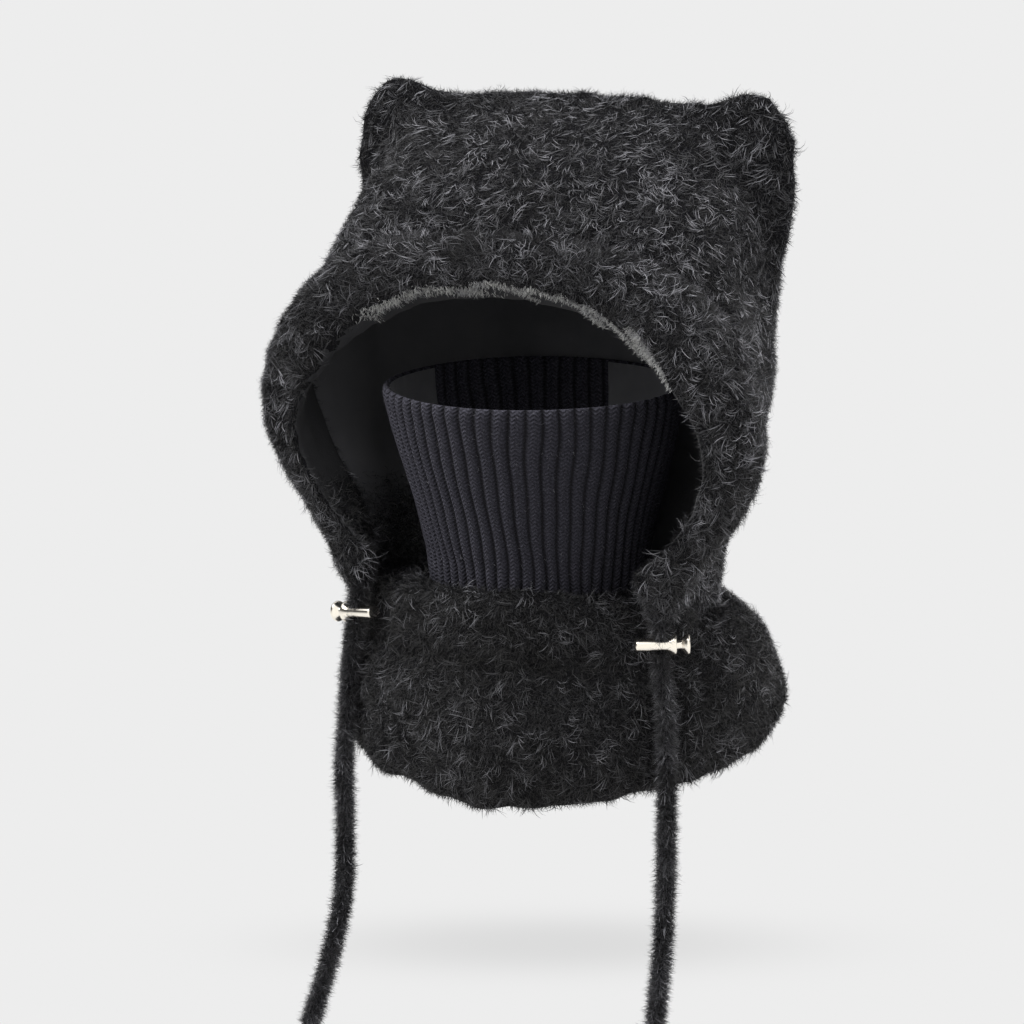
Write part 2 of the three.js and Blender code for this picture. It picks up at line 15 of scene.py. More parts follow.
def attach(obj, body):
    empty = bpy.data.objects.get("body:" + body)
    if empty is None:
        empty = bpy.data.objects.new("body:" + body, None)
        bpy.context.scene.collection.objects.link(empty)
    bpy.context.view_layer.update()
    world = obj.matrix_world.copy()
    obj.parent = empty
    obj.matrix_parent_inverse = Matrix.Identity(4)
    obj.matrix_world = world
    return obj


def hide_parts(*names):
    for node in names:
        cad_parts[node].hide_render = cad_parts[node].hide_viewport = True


bl_info = {
    "name": "Hooded Scarf",
    "version": (1, 0, 0),
    "blender": (4, 5, 0),
    "location": "View3D > Sidebar > Scarf",
    "description": "Dresses a hooded scarf in brushed knit, rib knit, fleece and polished metal",
    "category": "Object",
}

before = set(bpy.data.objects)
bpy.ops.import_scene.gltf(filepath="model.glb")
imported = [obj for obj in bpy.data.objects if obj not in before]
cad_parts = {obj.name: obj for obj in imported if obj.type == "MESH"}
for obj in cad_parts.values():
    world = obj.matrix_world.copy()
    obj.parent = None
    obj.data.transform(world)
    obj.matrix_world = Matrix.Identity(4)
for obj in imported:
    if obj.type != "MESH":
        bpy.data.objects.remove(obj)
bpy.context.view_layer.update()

MM = 0.001
BODY = "scarf"
SIDES = (("left", 1), ("right", -1))
VIEW_AZIMUTH = math.radians(27.0)
VIEW_HEIGHT = math.radians(10.8)
VIEW_DISTANCE = 2.6
VIEW_TARGET_MM = (-17.64, -8.99, -241.3)
VIEW_LENS_MM = 152.3
SENSOR_MM = 36.0

# Soft boxes: the way to each, how tight its edge is and how bright it is. The weak fill comes from
# everywhere, and the bounce from the floor.
SOFT_BOXES = (
    ((0.0, 0.1, 1.0), 2.0, 1.35),
    ((0.66, 0.72, 0.35), 6.0, 5.5),
    ((-0.85, -0.1, 0.6), 6.0, 2.2),
    ((-0.75, -0.6, 0.3), 5.0, 0.7),
)
FILL = 0.16
FLOOR_BOUNCE = 0.22

# The painted shadow on the floor: how far it lies behind the scarf, its half width and half depth
# seen from the camera, how far it is moved aside, and how sharply it ends.
PAINTED_SHADOW_BACK = 0.19
PAINTED_SHADOW_HALF_SIZE = (0.157, 0.066)
PAINTED_SHADOW_ASIDE = (0.024, 0.012, 0)
PAINTED_SHADOW_SHARPNESS = 2.6

# The way to the key light and its width in the sky
KEY_WAY = (-0.45, -0.45, 1.0)
KEY_ANGLE = math.radians(20)

# What polished metal mirrors: the height of each band, from 0 straight down to 1 straight up, and its
# grey. One wall at the side is white all over.
MIRRORED_BANDS = (
    (0.0, 1.0),
    (0.3, 1.1),
    (0.4, 0.95),
    (0.5, 0.75),
    (0.57, 0.3),
    (0.64, 0.06),
    (0.8, 0.06),
    (0.87, 1.3),
    (1.0, 1.3),
)
BAND_TINT = (1.0, 0.985, 0.96)
WHITE_WALL_WAY = (0.56, -0.81, 0.1)
WHITE_WALL_EDGE = (0.45, 0.75)
WHITE_WALL_LIGHT = (1.15, 1.13, 1.08, 1)

# The drawstring's centre line for the wearer's left, from inside the casing's mouth to its free end.
CORD_LINE_MM = (
    (96.3, -48.6, -271.2),
    (95.5, -48.8, -272.9),
    (96.0, -50.0, -279.5),
    (100.4, -51.0, -291.0),
    (101.0, -51.4, -302.5),
    (101.6, -52.0, -313.5),
    (105.0, -53.0, -341.5),
    (107.0, -54.5, -371.5),
    (108.0, -56.0, -396.5),
    (107.5, -56.0, -436.5),
    (107.5, -59.0, -476.5),
    (109.5, -70.0, -509.5),
    (114.0, -91.0, -554.5),
)
CORD_RADIUS = 0.003
CASING_MOUTH = -0.277

# The neck tube's rings: height, centre depth, half width and half depth.
NECK_RINGS_MM = (
    (-160.5, -14.0, 89.0, 89.0),
    (-165.5, -14.0, 89.2, 89.3),
    (-194.5, -12.0, 83.0, 83.0),
    (-229.5, -10.0, 74.0, 73.0),
    (-261.5, -8.0, 67.0, 65.0),
    (-293.5, -7.0, 63.5, 61.5),
)

# The rolled top edge, from the inside out: depth under the top in mm, share of the wall's thickness in
# from the outside, and height of the ribs.
NECK_RIM = (
    (0.7, 0.93, 0.7),
    (0.15, 0.72, 0.4),
    (0.0, 0.5, 0.3),
    (0.15, 0.28, 0.5),
    (0.7, 0.07, 0.8),
)

# The cord locks: where the wearer's left cord meets its lock, the cross hole's distance from the inner
# end and its radius, half the height that a lock covers on the cord, half the length along which it
# presses the cape's pile flat, and the way that each one lies.
LOCK_SEAT_MM = (101.0, -51.4, -302.5)
LOCK_HOLE_MM = 15.0
LOCK_HOLE_RADIUS_MM = 3.8
LOCK_GRIP = 0.0046
LOCK_HALF_LENGTH = 0.017
LOCK_AXES = {"left": (0.86, 0.51, 0.0), "right": (-0.955, 0.266, -0.12)}

# Their sections along that way in mm: distance from the inner end, half width and half height.
BARREL_MM = (
    (0.0, 4.5, 3.0),
    (0.35, 5.1, 3.6),
    (1.0, 5.4, 3.9),
    (17.8, 5.4, 3.9),
    (19.2, 5.5, 4.2),
    (20.8, 5.9, 5.3),
    (22.0, 6.2, 6.1),
    (22.8, 6.3, 6.3),
    (23.7, 6.3, 6.3),
    (24.0, 6.05, 6.05),
    (24.0, 5.2, 5.2),
    (23.6, 4.9, 4.9),
    (22.0, 4.85, 4.85),
    (20.4, 4.55, 3.3),
    (2.4, 4.55, 3.3),
)
PLUNGER_MM = (
    (7.0, 4.1, 2.85),
    (24.4, 4.1, 2.85),
    (25.4, 3.6, 2.8),
    (26.4, 3.4, 2.9),
    (27.4, 3.8, 3.6),
    (28.6, 4.9, 4.8),
    (29.8, 5.9, 5.9),
    (30.6, 6.25, 6.25),
    (31.2, 6.3, 6.3),
    (31.8, 6.0, 6.0),
    (32.0, 5.4, 5.4),
    (31.6, 4.2, 4.2),
)


def linear(hex_colour):
    """A linear RGBA colour from an sRGB hex string."""
    channels = [int(hex_colour[i : i + 2], 16) / 255 for i in (1, 3, 5)]
    return (*[c / 12.92 if c <= 0.04045 else ((c + 0.055) / 1.055) ** 2.4 for c in channels], 1.0)


def colour_prop(name, description, hex_colour):
    colour = linear(hex_colour)
    return FloatVectorProperty(
        name=name, description=description, subtype="COLOR", size=4, min=0, max=1, default=colour
    )


def length_prop(name, description, default_mm):
    length = default_mm * MM
    return FloatProperty(
        name=name, description=description, subtype="DISTANCE", unit="LENGTH", min=0, default=length
    )


def share_prop(name, description, default, top=1.0):
    return FloatProperty(name=name, description=description, min=0, max=top, default=default)


def count_prop(name, description, default):
    return IntProperty(name=name, description=description, min=0, default=default)


# How a pile grows: strand length, angle off the surface's normal and stray from the brushed way in
# degrees, curl in radians, greys from 0 to 1, width at the root, segments, and strands in a tuft.
Coat = namedtuple("Coat", "length_mm lean spread curl shade width_mm steps tuft")
SHORT_PILE = Coat((3.6, 6.4), (8, 66), 170, 0.0, (0.0, 0.2), 0.46, 1, 1)
GUARD_HAIRS = Coat((6.0, 13.0), (56, 84), 115, 1.2, (0.15, 1.0), 0.44, 3, 4)
CAPE_GUARD_HAIRS = Coat((6.0, 13.0), (52, 84), 120, 1.2, (0.12, 1.0), 0.42, 3, 4)
CORD_PILE = Coat((5.2, 9.0), (10, 55), 170, 0.0, (0.0, 0.3), 0.46, 1, 1)
CORD_GUARD_HAIRS = Coat((5.0, 9.5), (30, 78), 120, 0.9, (0.2, 1.0), 0.42, 3, 2)
EDGE_FRINGE = Coat((2.4, 4.6), (10, 60), 70, 0.5, (0.95, 1.0), 0.6, 2, 1)
INNER_PILE = Coat((4.0, 7.5), (20, 75), 170, 0.0, (0.0, 0.3), 0.46, 1, 1)
LINT = Coat((1.5, 4.0), (40, 84), 170, 0.9, (0.1, 0.8), 0.16, 2, 1)


class FurSettings(bpy.types.PropertyGroup):
    """How much pile the hood, brim, cape and cords have, and its colours."""

    hood_short: count_prop("Hood Pile", "Number of short strands on the hood", 172000)
    hood_long: count_prop("Hood Guard Hairs", "Number of long strands on the hood", 30000)
    brim_short: count_prop("Brim Pile", "Number of short strands on the brim", 104000)
    brim_long: count_prop("Brim Guard Hairs", "Number of long strands on the brim", 14000)
    brim_edge: count_prop("Brim Edge", "Number of pale fibres along the opening's top edge", 3600)
    inner_short: count_prop("Inner Pile", "Number of short strands low down inside the opening", 14000)
    cape_short: count_prop("Cape Pile", "Number of short strands on the cape", 110000)
    cape_long: count_prop("Cape Guard Hairs", "Number of long strands on the cape", 12500)
    cord_short: count_prop("Cord Pile", "Number of short strands on each drawstring", 25000)
    cord_long: count_prop("Cord Guard Hairs", "Number of long strands on each drawstring", 1500)
    neck_lint: count_prop("Neck Lint", "Number of loose fibres on the neck tube", 5000)
    dark: colour_prop("Dark Strand", "Colour of the darkest strands", "#0a0a0d")
    light: colour_prop("Light Strand", "Colour of the lightest guard hairs", "#dcdce4")
    # The edge's fibres are pale, and their colour is painted nearly white as a highlight.
    edge: colour_prop("Edge Fibre", "Colour of the pale fibres along the opening's top edge", "#f3f3f0")


class KnitSettings(bpy.types.PropertyGroup):
    """Colours of the knit grounds, and the sizes of the rib."""

    hood: colour_prop("Hood Ground", "Knit ground under the hood's pile", "#131317")
    cape: colour_prop("Cape Ground", "Knit ground under the cape's pile", "#121215")
    rib: colour_prop("Rib Knit", "Yarn of the neck tube", "#565560")
    # Painted light: the black fleece is given a light grey, so that the shaded inside of the hood and
    # neck tube shows as lit.
    lining: colour_prop("Lining", "Fleece lining", "#88888c")
    ribs: count_prop("Ribs", "Ribs round the neck tube", 56)
    rib_depth: length_prop("Rib Depth", "Height of a rib over its groove", 2.4)


class MetalSettings(bpy.types.PropertyGroup):
    """The cord locks' plating."""

    plating: colour_prop("Plating", "Colour of the polished plating", "#f0ebe2")
    roughness: share_prop("Roughness", "Roughness of the polished plating", 0.2)


class StageSettings(bpy.types.PropertyGroup):
    """The photographer's backdrop and light."""

    backdrop: colour_prop("Backdrop", "Floor and backdrop", "#ededed")
    # The scarf's soft shadow on the floor is painted into the floor's colour.
    shadow: share_prop("Shadow", "How much the soft shadow darkens the floor", 0.155)
    floor_gap: length_prop("Floor Gap", "Height of the cord ends over the floor", 12)
    sky: share_prop("Sky", "Strength of the soft light all round", 0.7, 5)
    key: share_prop("Key", "Strength of the key light", 0.8, 10)


def fur():
    return bpy.context.scene.scarf_fur


def knit():
    return bpy.context.scene.scarf_knit


def metal():
    return bpy.context.scene.scarf_metal


def stage():
    return bpy.context.scene.scarf_stage


def on_side(point_mm, side):
    """A point that is given in mm for the wearer's left, as metres on either side."""
    x, y, z = point_mm
    return (x * side * MM, y * MM, z * MM)


def cord_line(side, count):
    """Evenly spaced points along the drawstring of one side."""
    return smooth_line([Vector((x * side, y, z)) * MM for x, y, z in CORD_LINE_MM], count)


# Meshes

TUFT_SPREAD = 0.00132
ROOT_DEPTH = 0.0005
LAID_FLAT = math.radians(92)
DRILL_LENGTH = 0.03


def new_piece(name, vertices, faces):
    """A new smooth object in the scene from lists of points and faces."""
    mesh = bpy.data.meshes.new(name)
    mesh.from_pydata(vertices, [], faces)
    mesh.validate()
    mesh.shade_smooth()
    return placed_in_scene(name, mesh)


def placed_in_scene(name, mesh):
    piece = bpy.data.objects.new(name, mesh)
    bpy.context.scene.collection.objects.link(piece)
    return piece


def activate(piece):
    bpy.ops.object.select_all(action="DESELECT")
    piece.select_set(True)
    bpy.context.view_layer.objects.active = piece


def apply_modifier(piece, kind, **settings):
    """Adds a modifier with its settings and applies it."""
    modifier = piece.modifiers.new(kind.lower(), kind)
    for key, value in settings.items():
        setattr(modifier, key, value)
    activate(piece)
    bpy.ops.object.modifier_apply(modifier=modifier.name)


def smooth_copy(node, name, levels):
    """A subdivided copy of a solid, with its loose triangles merged first."""
    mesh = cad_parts[node].data.copy()
    mesh.name = name
    mesh.materials.clear()
    work = bmesh.new()
    work.from_mesh(mesh)
    bmesh.ops.remove_doubles(work, verts=work.verts, dist=2e-5)
    work.to_mesh(mesh)
    work.free()
    piece = placed_in_scene(name, mesh)
    apply_modifier(piece, "SUBSURF", levels=levels, render_levels=levels)
    piece.data.shade_smooth()
    return piece


def vertex_arrays(piece):
    """A piece's points and smooth normals as arrays."""
    mesh = piece.data
    place = np.empty(len(mesh.vertices) * 3, np.float32)
    normal = np.empty(len(mesh.vertices) * 3, np.float32)
    mesh.vertices.foreach_get("co", place)
    mesh.vertices.foreach_get("normal", normal)
    return place.reshape(-1, 3).astype(float), normal.reshape(-1, 3).astype(float)


def move_vertices(piece, place):
    piece.data.vertices.foreach_set("co", place.astype(np.float32).ravel())
    piece.data.update()


def wander(points, scale, seed):
    """A smooth random value between about -1 and 1 at each point, that changes over a distance."""
    rng = np.random.default_rng(seed)
    total = np.zeros(len(points))
    waves = 7
    for _ in range(waves):
        direction = rng.normal(size=3)
        direction /= np.linalg.norm(direction)
        frequency = rng.uniform(0.6, 1.7) * 2 * math.pi / scale
        total += np.sin(points @ direction * frequency + rng.uniform(0, 2 * math.pi))
    return total / math.sqrt(waves)


def ruffle(piece, height, scale, seed):
    """Pushes a piece's surface in and out a little, as a soft knit lies."""
    place, normal = vertex_arrays(piece)
    move_vertices(piece, place + normal * (wander(place, scale, seed) * height)[:, None])


def scatter(piece, count, rng, weight=None, tuft=1):
    """Random points spread over a piece in tufts, with their normals and the number of each one's tuft.
    weight(points, normals) thins them."""
    mesh = piece.data
    mesh.calc_loop_triangles()
    corners = np.empty(len(mesh.loop_triangles) * 3, np.int32)
    mesh.loop_triangles.foreach_get("vertices", corners)
    corners = corners.reshape(-1, 3)
    place, normal = vertex_arrays(piece)
    a, b, c = (place[corners[:, i]] for i in range(3))
    cross = np.cross(b - a, c - a)
    share = np.linalg.norm(cross, axis=1)
    if weight is not None:
        share = share * weight((a + b + c) / 3, unit(cross))
    picked = rng.choice(len(share), size=count // tuft, p=share / share.sum())
    parts = rng.dirichlet((1, 1, 1), len(picked))

    def mix(values):
        return np.einsum("nk,nkd->nd", parts, values[corners[picked]])

    points = np.repeat(mix(place), tuft, axis=0)
    normals = np.repeat(unit(mix(normal)), tuft, axis=0)
    if tuft > 1:
        points = points + flat_on(rng.normal(size=points.shape), normals) * TUFT_SPREAD
    return points, normals, np.repeat(np.arange(len(picked)), tuft)


def unit(vectors):
    return vectors / np.maximum(np.linalg.norm(vectors, axis=1), 1e-9)[:, None]


def flat_on(vectors, normals):
    """The part of each vector that lies along the surface."""
    return vectors - normals * np.sum(vectors * normals, axis=1)[:, None]


def strands(placed, coat, rng, comb, seed, painted_shade=None):
    """Tapered ribbons that grow out of a surface. comb(points) is the way the pile is brushed, and
    painted_shade(points, normals) darkens it with painted shade, in folds and inside the opening."""
    points, normals, group = placed
    count, groups = len(points), int(group[-1]) + 1
    length = rng.uniform(*coat.length_mm, groups)[group] * rng.uniform(0.75, 1.1, count) * MM
    tilt = np.radians(rng.uniform(*coat.lean, groups)[group] + rng.normal(size=count) * 7)
    brushed = unit(flat_on(comb(points), normals) + 1e-6)
    aside = np.cross(normals, brushed)
    stray = math.radians(coat.spread)
    turn = wander(points, 0.045, seed) * stray * 0.45 + rng.normal(size=groups)[group] * stray * 0.5
    turn += rng.normal(size=count) * 0.22
    along = brushed * np.cos(turn)[:, None] + aside * np.sin(turn)[:, None]
    athwart = np.cross(normals, along)
    bend = rng.normal(size=groups)[group] * coat.curl + rng.normal(size=count) * 0.2
    roll = rng.uniform(-1.0, 1.0, count)
    half = coat.width_mm / 2 * MM * rng.uniform(0.7, 1.3, count)
    low, high = coat.shade
    tone = low + (high - low) * rng.random(groups)[group] ** 1.5 * rng.uniform(0.7, 1.1, count)
    patches = 0.3 * wander(points, 0.05, seed + 7) + 0.35 * wander(points, 0.011, seed + 9)
    tone *= np.clip(1 + patches, 0.15, 1.9)
    if painted_shade is not None:
        tone *= painted_shade(points, normals)
    centre = points - normals * ROOT_DEPTH
    rows = []
    for k in range(coat.steps + 1):
        t = k / coat.steps
        lie = tilt + (LAID_FLAT - tilt) * 0.4 * t
        swing = bend * t
        over = along * np.cos(swing)[:, None] + athwart * np.sin(swing)[:, None]
        way = normals * np.cos(lie)[:, None] + over * np.sin(lie)[:, None]
        if k:
            centre = centre + way * (length / coat.steps)[:, None]
        side = unit(flat_on(np.cross(way, normals) + normals * roll[:, None], way))
        narrow = (half * (1 - 0.7 * t))[:, None]
        rows += [centre - side * narrow, centre + side * narrow] if k < coat.steps else [centre]
    heights = np.array([k // 2 / coat.steps for k in range(2 * coat.steps)] + [1.0])
    return np.stack(rows, axis=1), np.clip(tone, 0, 1), heights


def ring_faces(rows, sides, closed):
    """Quads between neighbouring rings of points, and from the last ring to the first one if closed."""
    faces = []
    for i in range(rows if closed else rows - 1):
        n = (i + 1) % rows
        for k in range(sides):
            m = (k + 1) % sides
            faces.append((i * sides + k, i * sides + m, n * sides + m, n * sides + k))
    return faces


def fur_piece(name, batches):
    """One mesh of many strands. Each batch is what strands() gives. The attribute 'strand' holds each
    one's grey and how far along it a point lies."""
    places, quads, tips, values = [], [], [], []
    start = 0
    for vertices, tone, heights in batches:
        count, per, _ = vertices.shape
        first = start + np.arange(count)[:, None] * per
        for k in range((per - 1) // 2 - 1):
            quads.append(first + np.array([2 * k, 2 * k + 1, 2 * k + 3, 2 * k + 2]))
        tips.append(first + np.array([per - 3, per - 2, per - 1]))
        places.append(vertices.reshape(-1, 3))
        values.append(np.stack([np.repeat(tone, per), np.tile(heights, count)], axis=1))
        start += count * per
    place = np.concatenate(places).astype(np.float32)
    value = np.concatenate(values)
    four = np.concatenate(quads) if quads else np.empty((0, 4), int)
    three = np.concatenate(tips)
    mesh = bpy.data.meshes.new(name)
    mesh.vertices.add(len(place))
    mesh.vertices.foreach_set("co", place.ravel())
    mesh.loops.add(four.size + three.size)
    corners = np.concatenate([four.ravel(), three.ravel()])
    mesh.loops.foreach_set("vertex_index", corners.astype(np.int32))
    starts = np.concatenate([np.arange(len(four)) * 4, four.size + np.arange(len(three)) * 3])
    mesh.polygons.add(len(starts))
    mesh.polygons.foreach_set("loop_start", starts.astype(np.int32))
    mesh.update(calc_edges=True)
    mesh.validate()
    colour = np.zeros((len(place), 4), np.float32)
    colour[:, :2] = value
    colour[:, 3] = 1
    attribute = mesh.attributes.new("strand", "FLOAT_COLOR", "POINT")
    attribute.data.foreach_set("color", colour.ravel())
    return placed_in_scene(name, mesh)


# Materials


def add_node(tree, kind, *fed, **settings):
    """Adds one shader node. fed are its first inputs in order, and settings its properties and other
    inputs by name. Each input is a value, a socket, or a node, which stands for its first output."""
    node = tree.nodes.new(f"ShaderNode{kind}")
    inputs = list(enumerate(fed))
    for key, value in settings.items():
        if hasattr(node, key):
            setattr(node, key, value)
        else:
            inputs.append((key.replace("_", " "), value))
    for key, value in inputs:
        if isinstance(value, bpy.types.Node):
            value = next(output for output in value.outputs if not output.is_unavailable)
        if isinstance(value, bpy.types.NodeSocket):
            tree.links.new(value, node.inputs[key])
        else:
            node.inputs[key].default_value = value
    return node


def new_tree(name):
    """A material and its empty node tree."""
    material = bpy.data.materials.new(name)
    material.use_nodes = True
    material.node_tree.nodes.clear()
    return material, material.node_tree


def shaded(colour, factor):
    return (*[c * factor for c in colour[:3]], 1.0)


def brushed_yarn_strands(name, dark, light):
    """Acrylic and mohair fibres: each strand has its own grey and a soft gloss, with painted shade
    making it darker towards its root, deep in the pile.
    """
    material, tree = new_tree(name)
    strand = add_node(tree, "Attribute", attribute_name="strand")
    parts = add_node(tree, "SeparateColor", strand)
    rise = add_node(tree, "Math", parts.outputs["Green"], 0.9, operation="MULTIPLY")
    root_painted_shade = add_node(tree, "Math", rise, 0.3, operation="ADD")
    tone = add_node(tree, "Math", parts.outputs["Red"], root_painted_shade, operation="MULTIPLY")
    grey = add_node(tree, "Mix", data_type="RGBA", Factor=tone, A=dark, B=light)
    shader = add_node(tree, "BsdfPrincipled", Base_Color=grey, Roughness=0.42, Specular_IOR_Level=0.4)
    add_node(tree, "OutputMaterial", shader)
    return material


def knit_ground(name, colour):
    """The brushed knit's ground under its pile: matt yarn with fine curling fibres matted over it."""
    material, tree = new_tree(name)
    place = add_node(tree, "TexCoord").outputs["Object"]
    layers = []
    for scale_mm, twist in ((5.0, 2.5), (3.0, 1.5)):
        field = add_node(
            tree, "TexNoise",
            Vector=place, Scale=1 / (scale_mm * MM), Detail=1.5, Distortion=twist,
        )
        level = add_node(tree, "Math", field, 0.5, operation="SUBTRACT")
        off = add_node(tree, "Math", level, operation="ABSOLUTE")
        fibre = add_node(tree, "MapRange", off, 0.0, 0.03, 1.0, 0.0, interpolation_type="SMOOTHSTEP")
        layers.append(fibre)
    matted = add_node(tree, "Math", *layers, operation="MAXIMUM")
    clumps = add_node(tree, "TexNoise", Vector=place, Scale=1 / (9 * MM), Detail=3.0)
    strength = add_node(tree, "Math", matted, clumps, operation="MULTIPLY")
    yarn = add_node(
        tree, "Mix", data_type="RGBA",
        Factor=strength, A=shaded(colour, 0.5), B=shaded(colour, 7.0),
    )
    bump = add_node(tree, "Bump", Height=matted, Strength=0.6, Distance=0.6 * MM)
    shader = add_node(
        tree, "BsdfPrincipled",
        Base_Color=yarn, Normal=bump, Roughness=0.9, Specular_IOR_Level=0.2,
    )
    add_node(tree, "OutputMaterial", shader)
    return material


def rib_knit(name, colour):
    """Rib-knit acrylic: V-shaped stitches 2.4 mm high in two wales to a rib, with painted shade in the
    grooves between the ribs and in the stitches' dips. The piece's UV map counts ribs across and metres
    down."""
    material, tree = new_tree(name)
    uv = add_node(tree, "UVMap", uv_map="knit")
    axes = add_node(tree, "SeparateXYZ", uv)
    ribs, down = axes.outputs["X"], axes.outputs["Y"]
    wales = add_node(tree, "Math", ribs, 2.0, operation="MULTIPLY")
    wale = add_node(tree, "Math", wales, operation="FRACT")
    off_middle = add_node(tree, "Math", wale, 0.5, operation="SUBTRACT")
    off_centre = add_node(tree, "Math", off_middle, operation="ABSOLUTE")
    course = add_node(tree, "Math", down, 1 / (2.4 * MM), operation="MULTIPLY")
    slanted = add_node(tree, "Math", off_centre, 1.5, course, operation="MULTIPLY_ADD")
    turns = add_node(tree, "Math", slanted, 2 * math.pi, operation="MULTIPLY")
    stitch = add_node(tree, "Math", turns, operation="SINE")
    rib = add_node(tree, "Math", ribs, operation="FRACT")
    off_rib = add_node(tree, "Math", rib, 0.5, operation="SUBTRACT")
    from_groove = add_node(tree, "Math", off_rib, operation="ABSOLUTE")
    # Painted shade: the yarn is darker in the grooves between the ribs.
    groove_painted_shade = add_node(
        tree, "MapRange", from_groove, 0.26, 0.5, 1.0, 0.12, interpolation_type="SMOOTHSTEP"
    )
    place = add_node(tree, "TexCoord").outputs["Object"]
    lint = add_node(tree, "TexNoise", Vector=place, Scale=1 / (1.1 * MM), Detail=3.0)
    speck = add_node(tree, "MapRange", lint, 0.35, 0.72, 0.55, 1.55)
    # Painted shade: each stitch is darker in its dips.
    tone = add_node(tree, "Math", stitch, 0.22, 0.78, operation="MULTIPLY_ADD")
    painted_shade_in_grooves = add_node(tree, "Math", tone, groove_painted_shade, operation="MULTIPLY")
    strength = add_node(tree, "Math", painted_shade_in_grooves, speck, operation="MULTIPLY")
    yarn = add_node(
        tree, "Mix", data_type="RGBA", clamp_factor=False,
        Factor=strength, A=shaded(colour, 0.08), B=colour,
    )
    wale_rise = add_node(tree, "Math", off_centre, -1.2, operation="MULTIPLY")
    height = add_node(tree, "Math", stitch, 0.5, wale_rise, operation="MULTIPLY_ADD")
    bump = add_node(tree, "Bump", Height=height, Strength=0.9, Distance=0.6 * MM)
    shader = add_node(
        tree, "BsdfPrincipled",
        Base_Color=yarn, Normal=bump, Roughness=0.85, Specular_IOR_Level=0.2,
    )
    add_node(tree, "OutputMaterial", shader)
    return material


def fleece_lining(name, colour):
    """Brushed polyester fleece: matt and even, with a fine nap that softens its shading."""
    material, tree = new_tree(name)
    place = add_node(tree, "TexCoord").outputs["Object"]
    nap = add_node(tree, "TexNoise", Vector=place, Scale=1 / (1.2 * MM), Detail=4.0)
    drift = add_node(tree, "TexNoise", Vector=place, Scale=1 / (30 * MM), Detail=2.0)
    fleece = add_node(
        tree, "Mix", data_type="RGBA",
        Factor=drift, A=shaded(colour, 0.75), B=shaded(colour, 1.25),
    )
    bump = add_node(tree, "Bump", Height=nap, Strength=0.5, Distance=0.4 * MM)
    shader = add_node(
        tree, "BsdfPrincipled", Base_Color=fleece, Normal=bump,
        Roughness=0.9, Specular_IOR_Level=0.1, Sheen_Weight=0.06, Sheen_Roughness=0.5,
    )
    add_node(tree, "OutputMaterial", shader)
    return material


def polished_plating(name, colour, roughness):
    """Nickel-plated zinc, tumbled and polished: a clear mirror with faint hairline wear."""
    material, tree = new_tree(name)
    place = add_node(tree, "TexCoord").outputs["Object"]
    wear = add_node(tree, "TexNoise", Vector=place, Scale=1 / (1.5 * MM), Detail=3.0)
    rough = add_node(tree, "MapRange", wear, To_Min=roughness * 0.6, To_Max=roughness * 1.5)
    shader = add_node(tree, "BsdfPrincipled", Metallic=1.0, Base_Color=colour, Roughness=rough)
    add_node(tree, "OutputMaterial", shader)
    return material


def dress(piece, material, body=BODY):
    """Gives a piece its material and the body that it rides on."""
    piece.data.materials.clear()
    piece.data.materials.append(material)
    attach(piece, body)
    return piece


# Where and how the pile grows

# The middle of the opening and of the hood, and how far the knit stands out over its solids at the
# ears, the crown and the brim. The cape's pile gets painted shade in the fold under its puffed roll.
OPENING_CENTRE = np.array([0.0, 0.0, -0.19])
HOOD_MIDDLE = np.array([0.0, 0.03, -0.16])
EAR_CENTRE = 0.108
EAR_WIDTH = 0.022
EAR_LIFT = 0.0055
CROWN_LIFT = 0.002
EAR_SPREAD = 0.003
BRIM_SWELL = 0.0032
FOLD_HEIGHT = -0.3175
FOLD_WIDTH = 0.006


def brushed_down(points):
    """The pile of the hood and cape falls down and a little outwards."""
    way = np.tile(np.array([0.0, -0.25, -1.0]), (len(points), 1))
    way[:, 0] += np.sign(points[:, 0]) * 0.3
    return way


def brushed_round(points):
    """The brim's pile runs down both sides of the arch and a little away from the opening."""
    radial = points - OPENING_CENTRE
    radial[:, 1] = 0
    radial = unit(radial)
    side = np.where(points[:, 0] < 0, -1.0, 1.0)
    along = np.stack([radial[:, 2] * side, np.zeros(len(points)), -radial[:, 0] * side], axis=1)
    return along + radial * 0.35


def hanging(points):
    return np.tile(np.array([0.0, 0.0, -1.0]), (len(points), 1))


def towards_opening(points):
    """The edge fringe bends in over the opening and forwards."""
    way = OPENING_CENTRE - points
    way[:, 1] = -0.06
    return way


def facing_in(points, normals):
    """How squarely a surface of the brim faces the middle of the opening, from -1 to 1."""
    radial = points - OPENING_CENTRE
    radial[:, 1] = 0
    return -np.sum(unit(radial) * normals, axis=1)


def ramp(values, low, high):
    """Smooth step from 0 at low to 1 at high."""
    t = np.clip((values - low) / (high - low), 0, 1)
    return t * t * (3 - 2 * t)


def point_tree(piece):
    """A search tree of a piece's points."""
    place, _ = vertex_arrays(piece)
    tree = KDTree(len(place))
    for index, point in enumerate(place):
        tree.insert(point, index)
    tree.balance()
    return tree


def nearness(piece, reach):
    """A function of points that is 1 at a piece and falls off over reach."""
    tree = point_tree(piece)
    return lambda points: np.exp(-np.array([tree.find(point)[2] for point in points]) / reach)


def snug(piece, target, near, far):
    """Draws a piece's edge onto the one that it is stitched to: nearly all the way within near, and not
    at all beyond far."""
    place, _ = vertex_arrays(piece)
    tree = point_tree(target)
    found = [tree.find(point) for point in place]
    nearest = np.array([list(item[0]) for item in found])
    distance = np.array([item[2] for item in found])
    pull = 0.95 * (1 - ramp(distance, near, far))
    move_vertices(piece, place + (nearest - place) * pull[:, None])


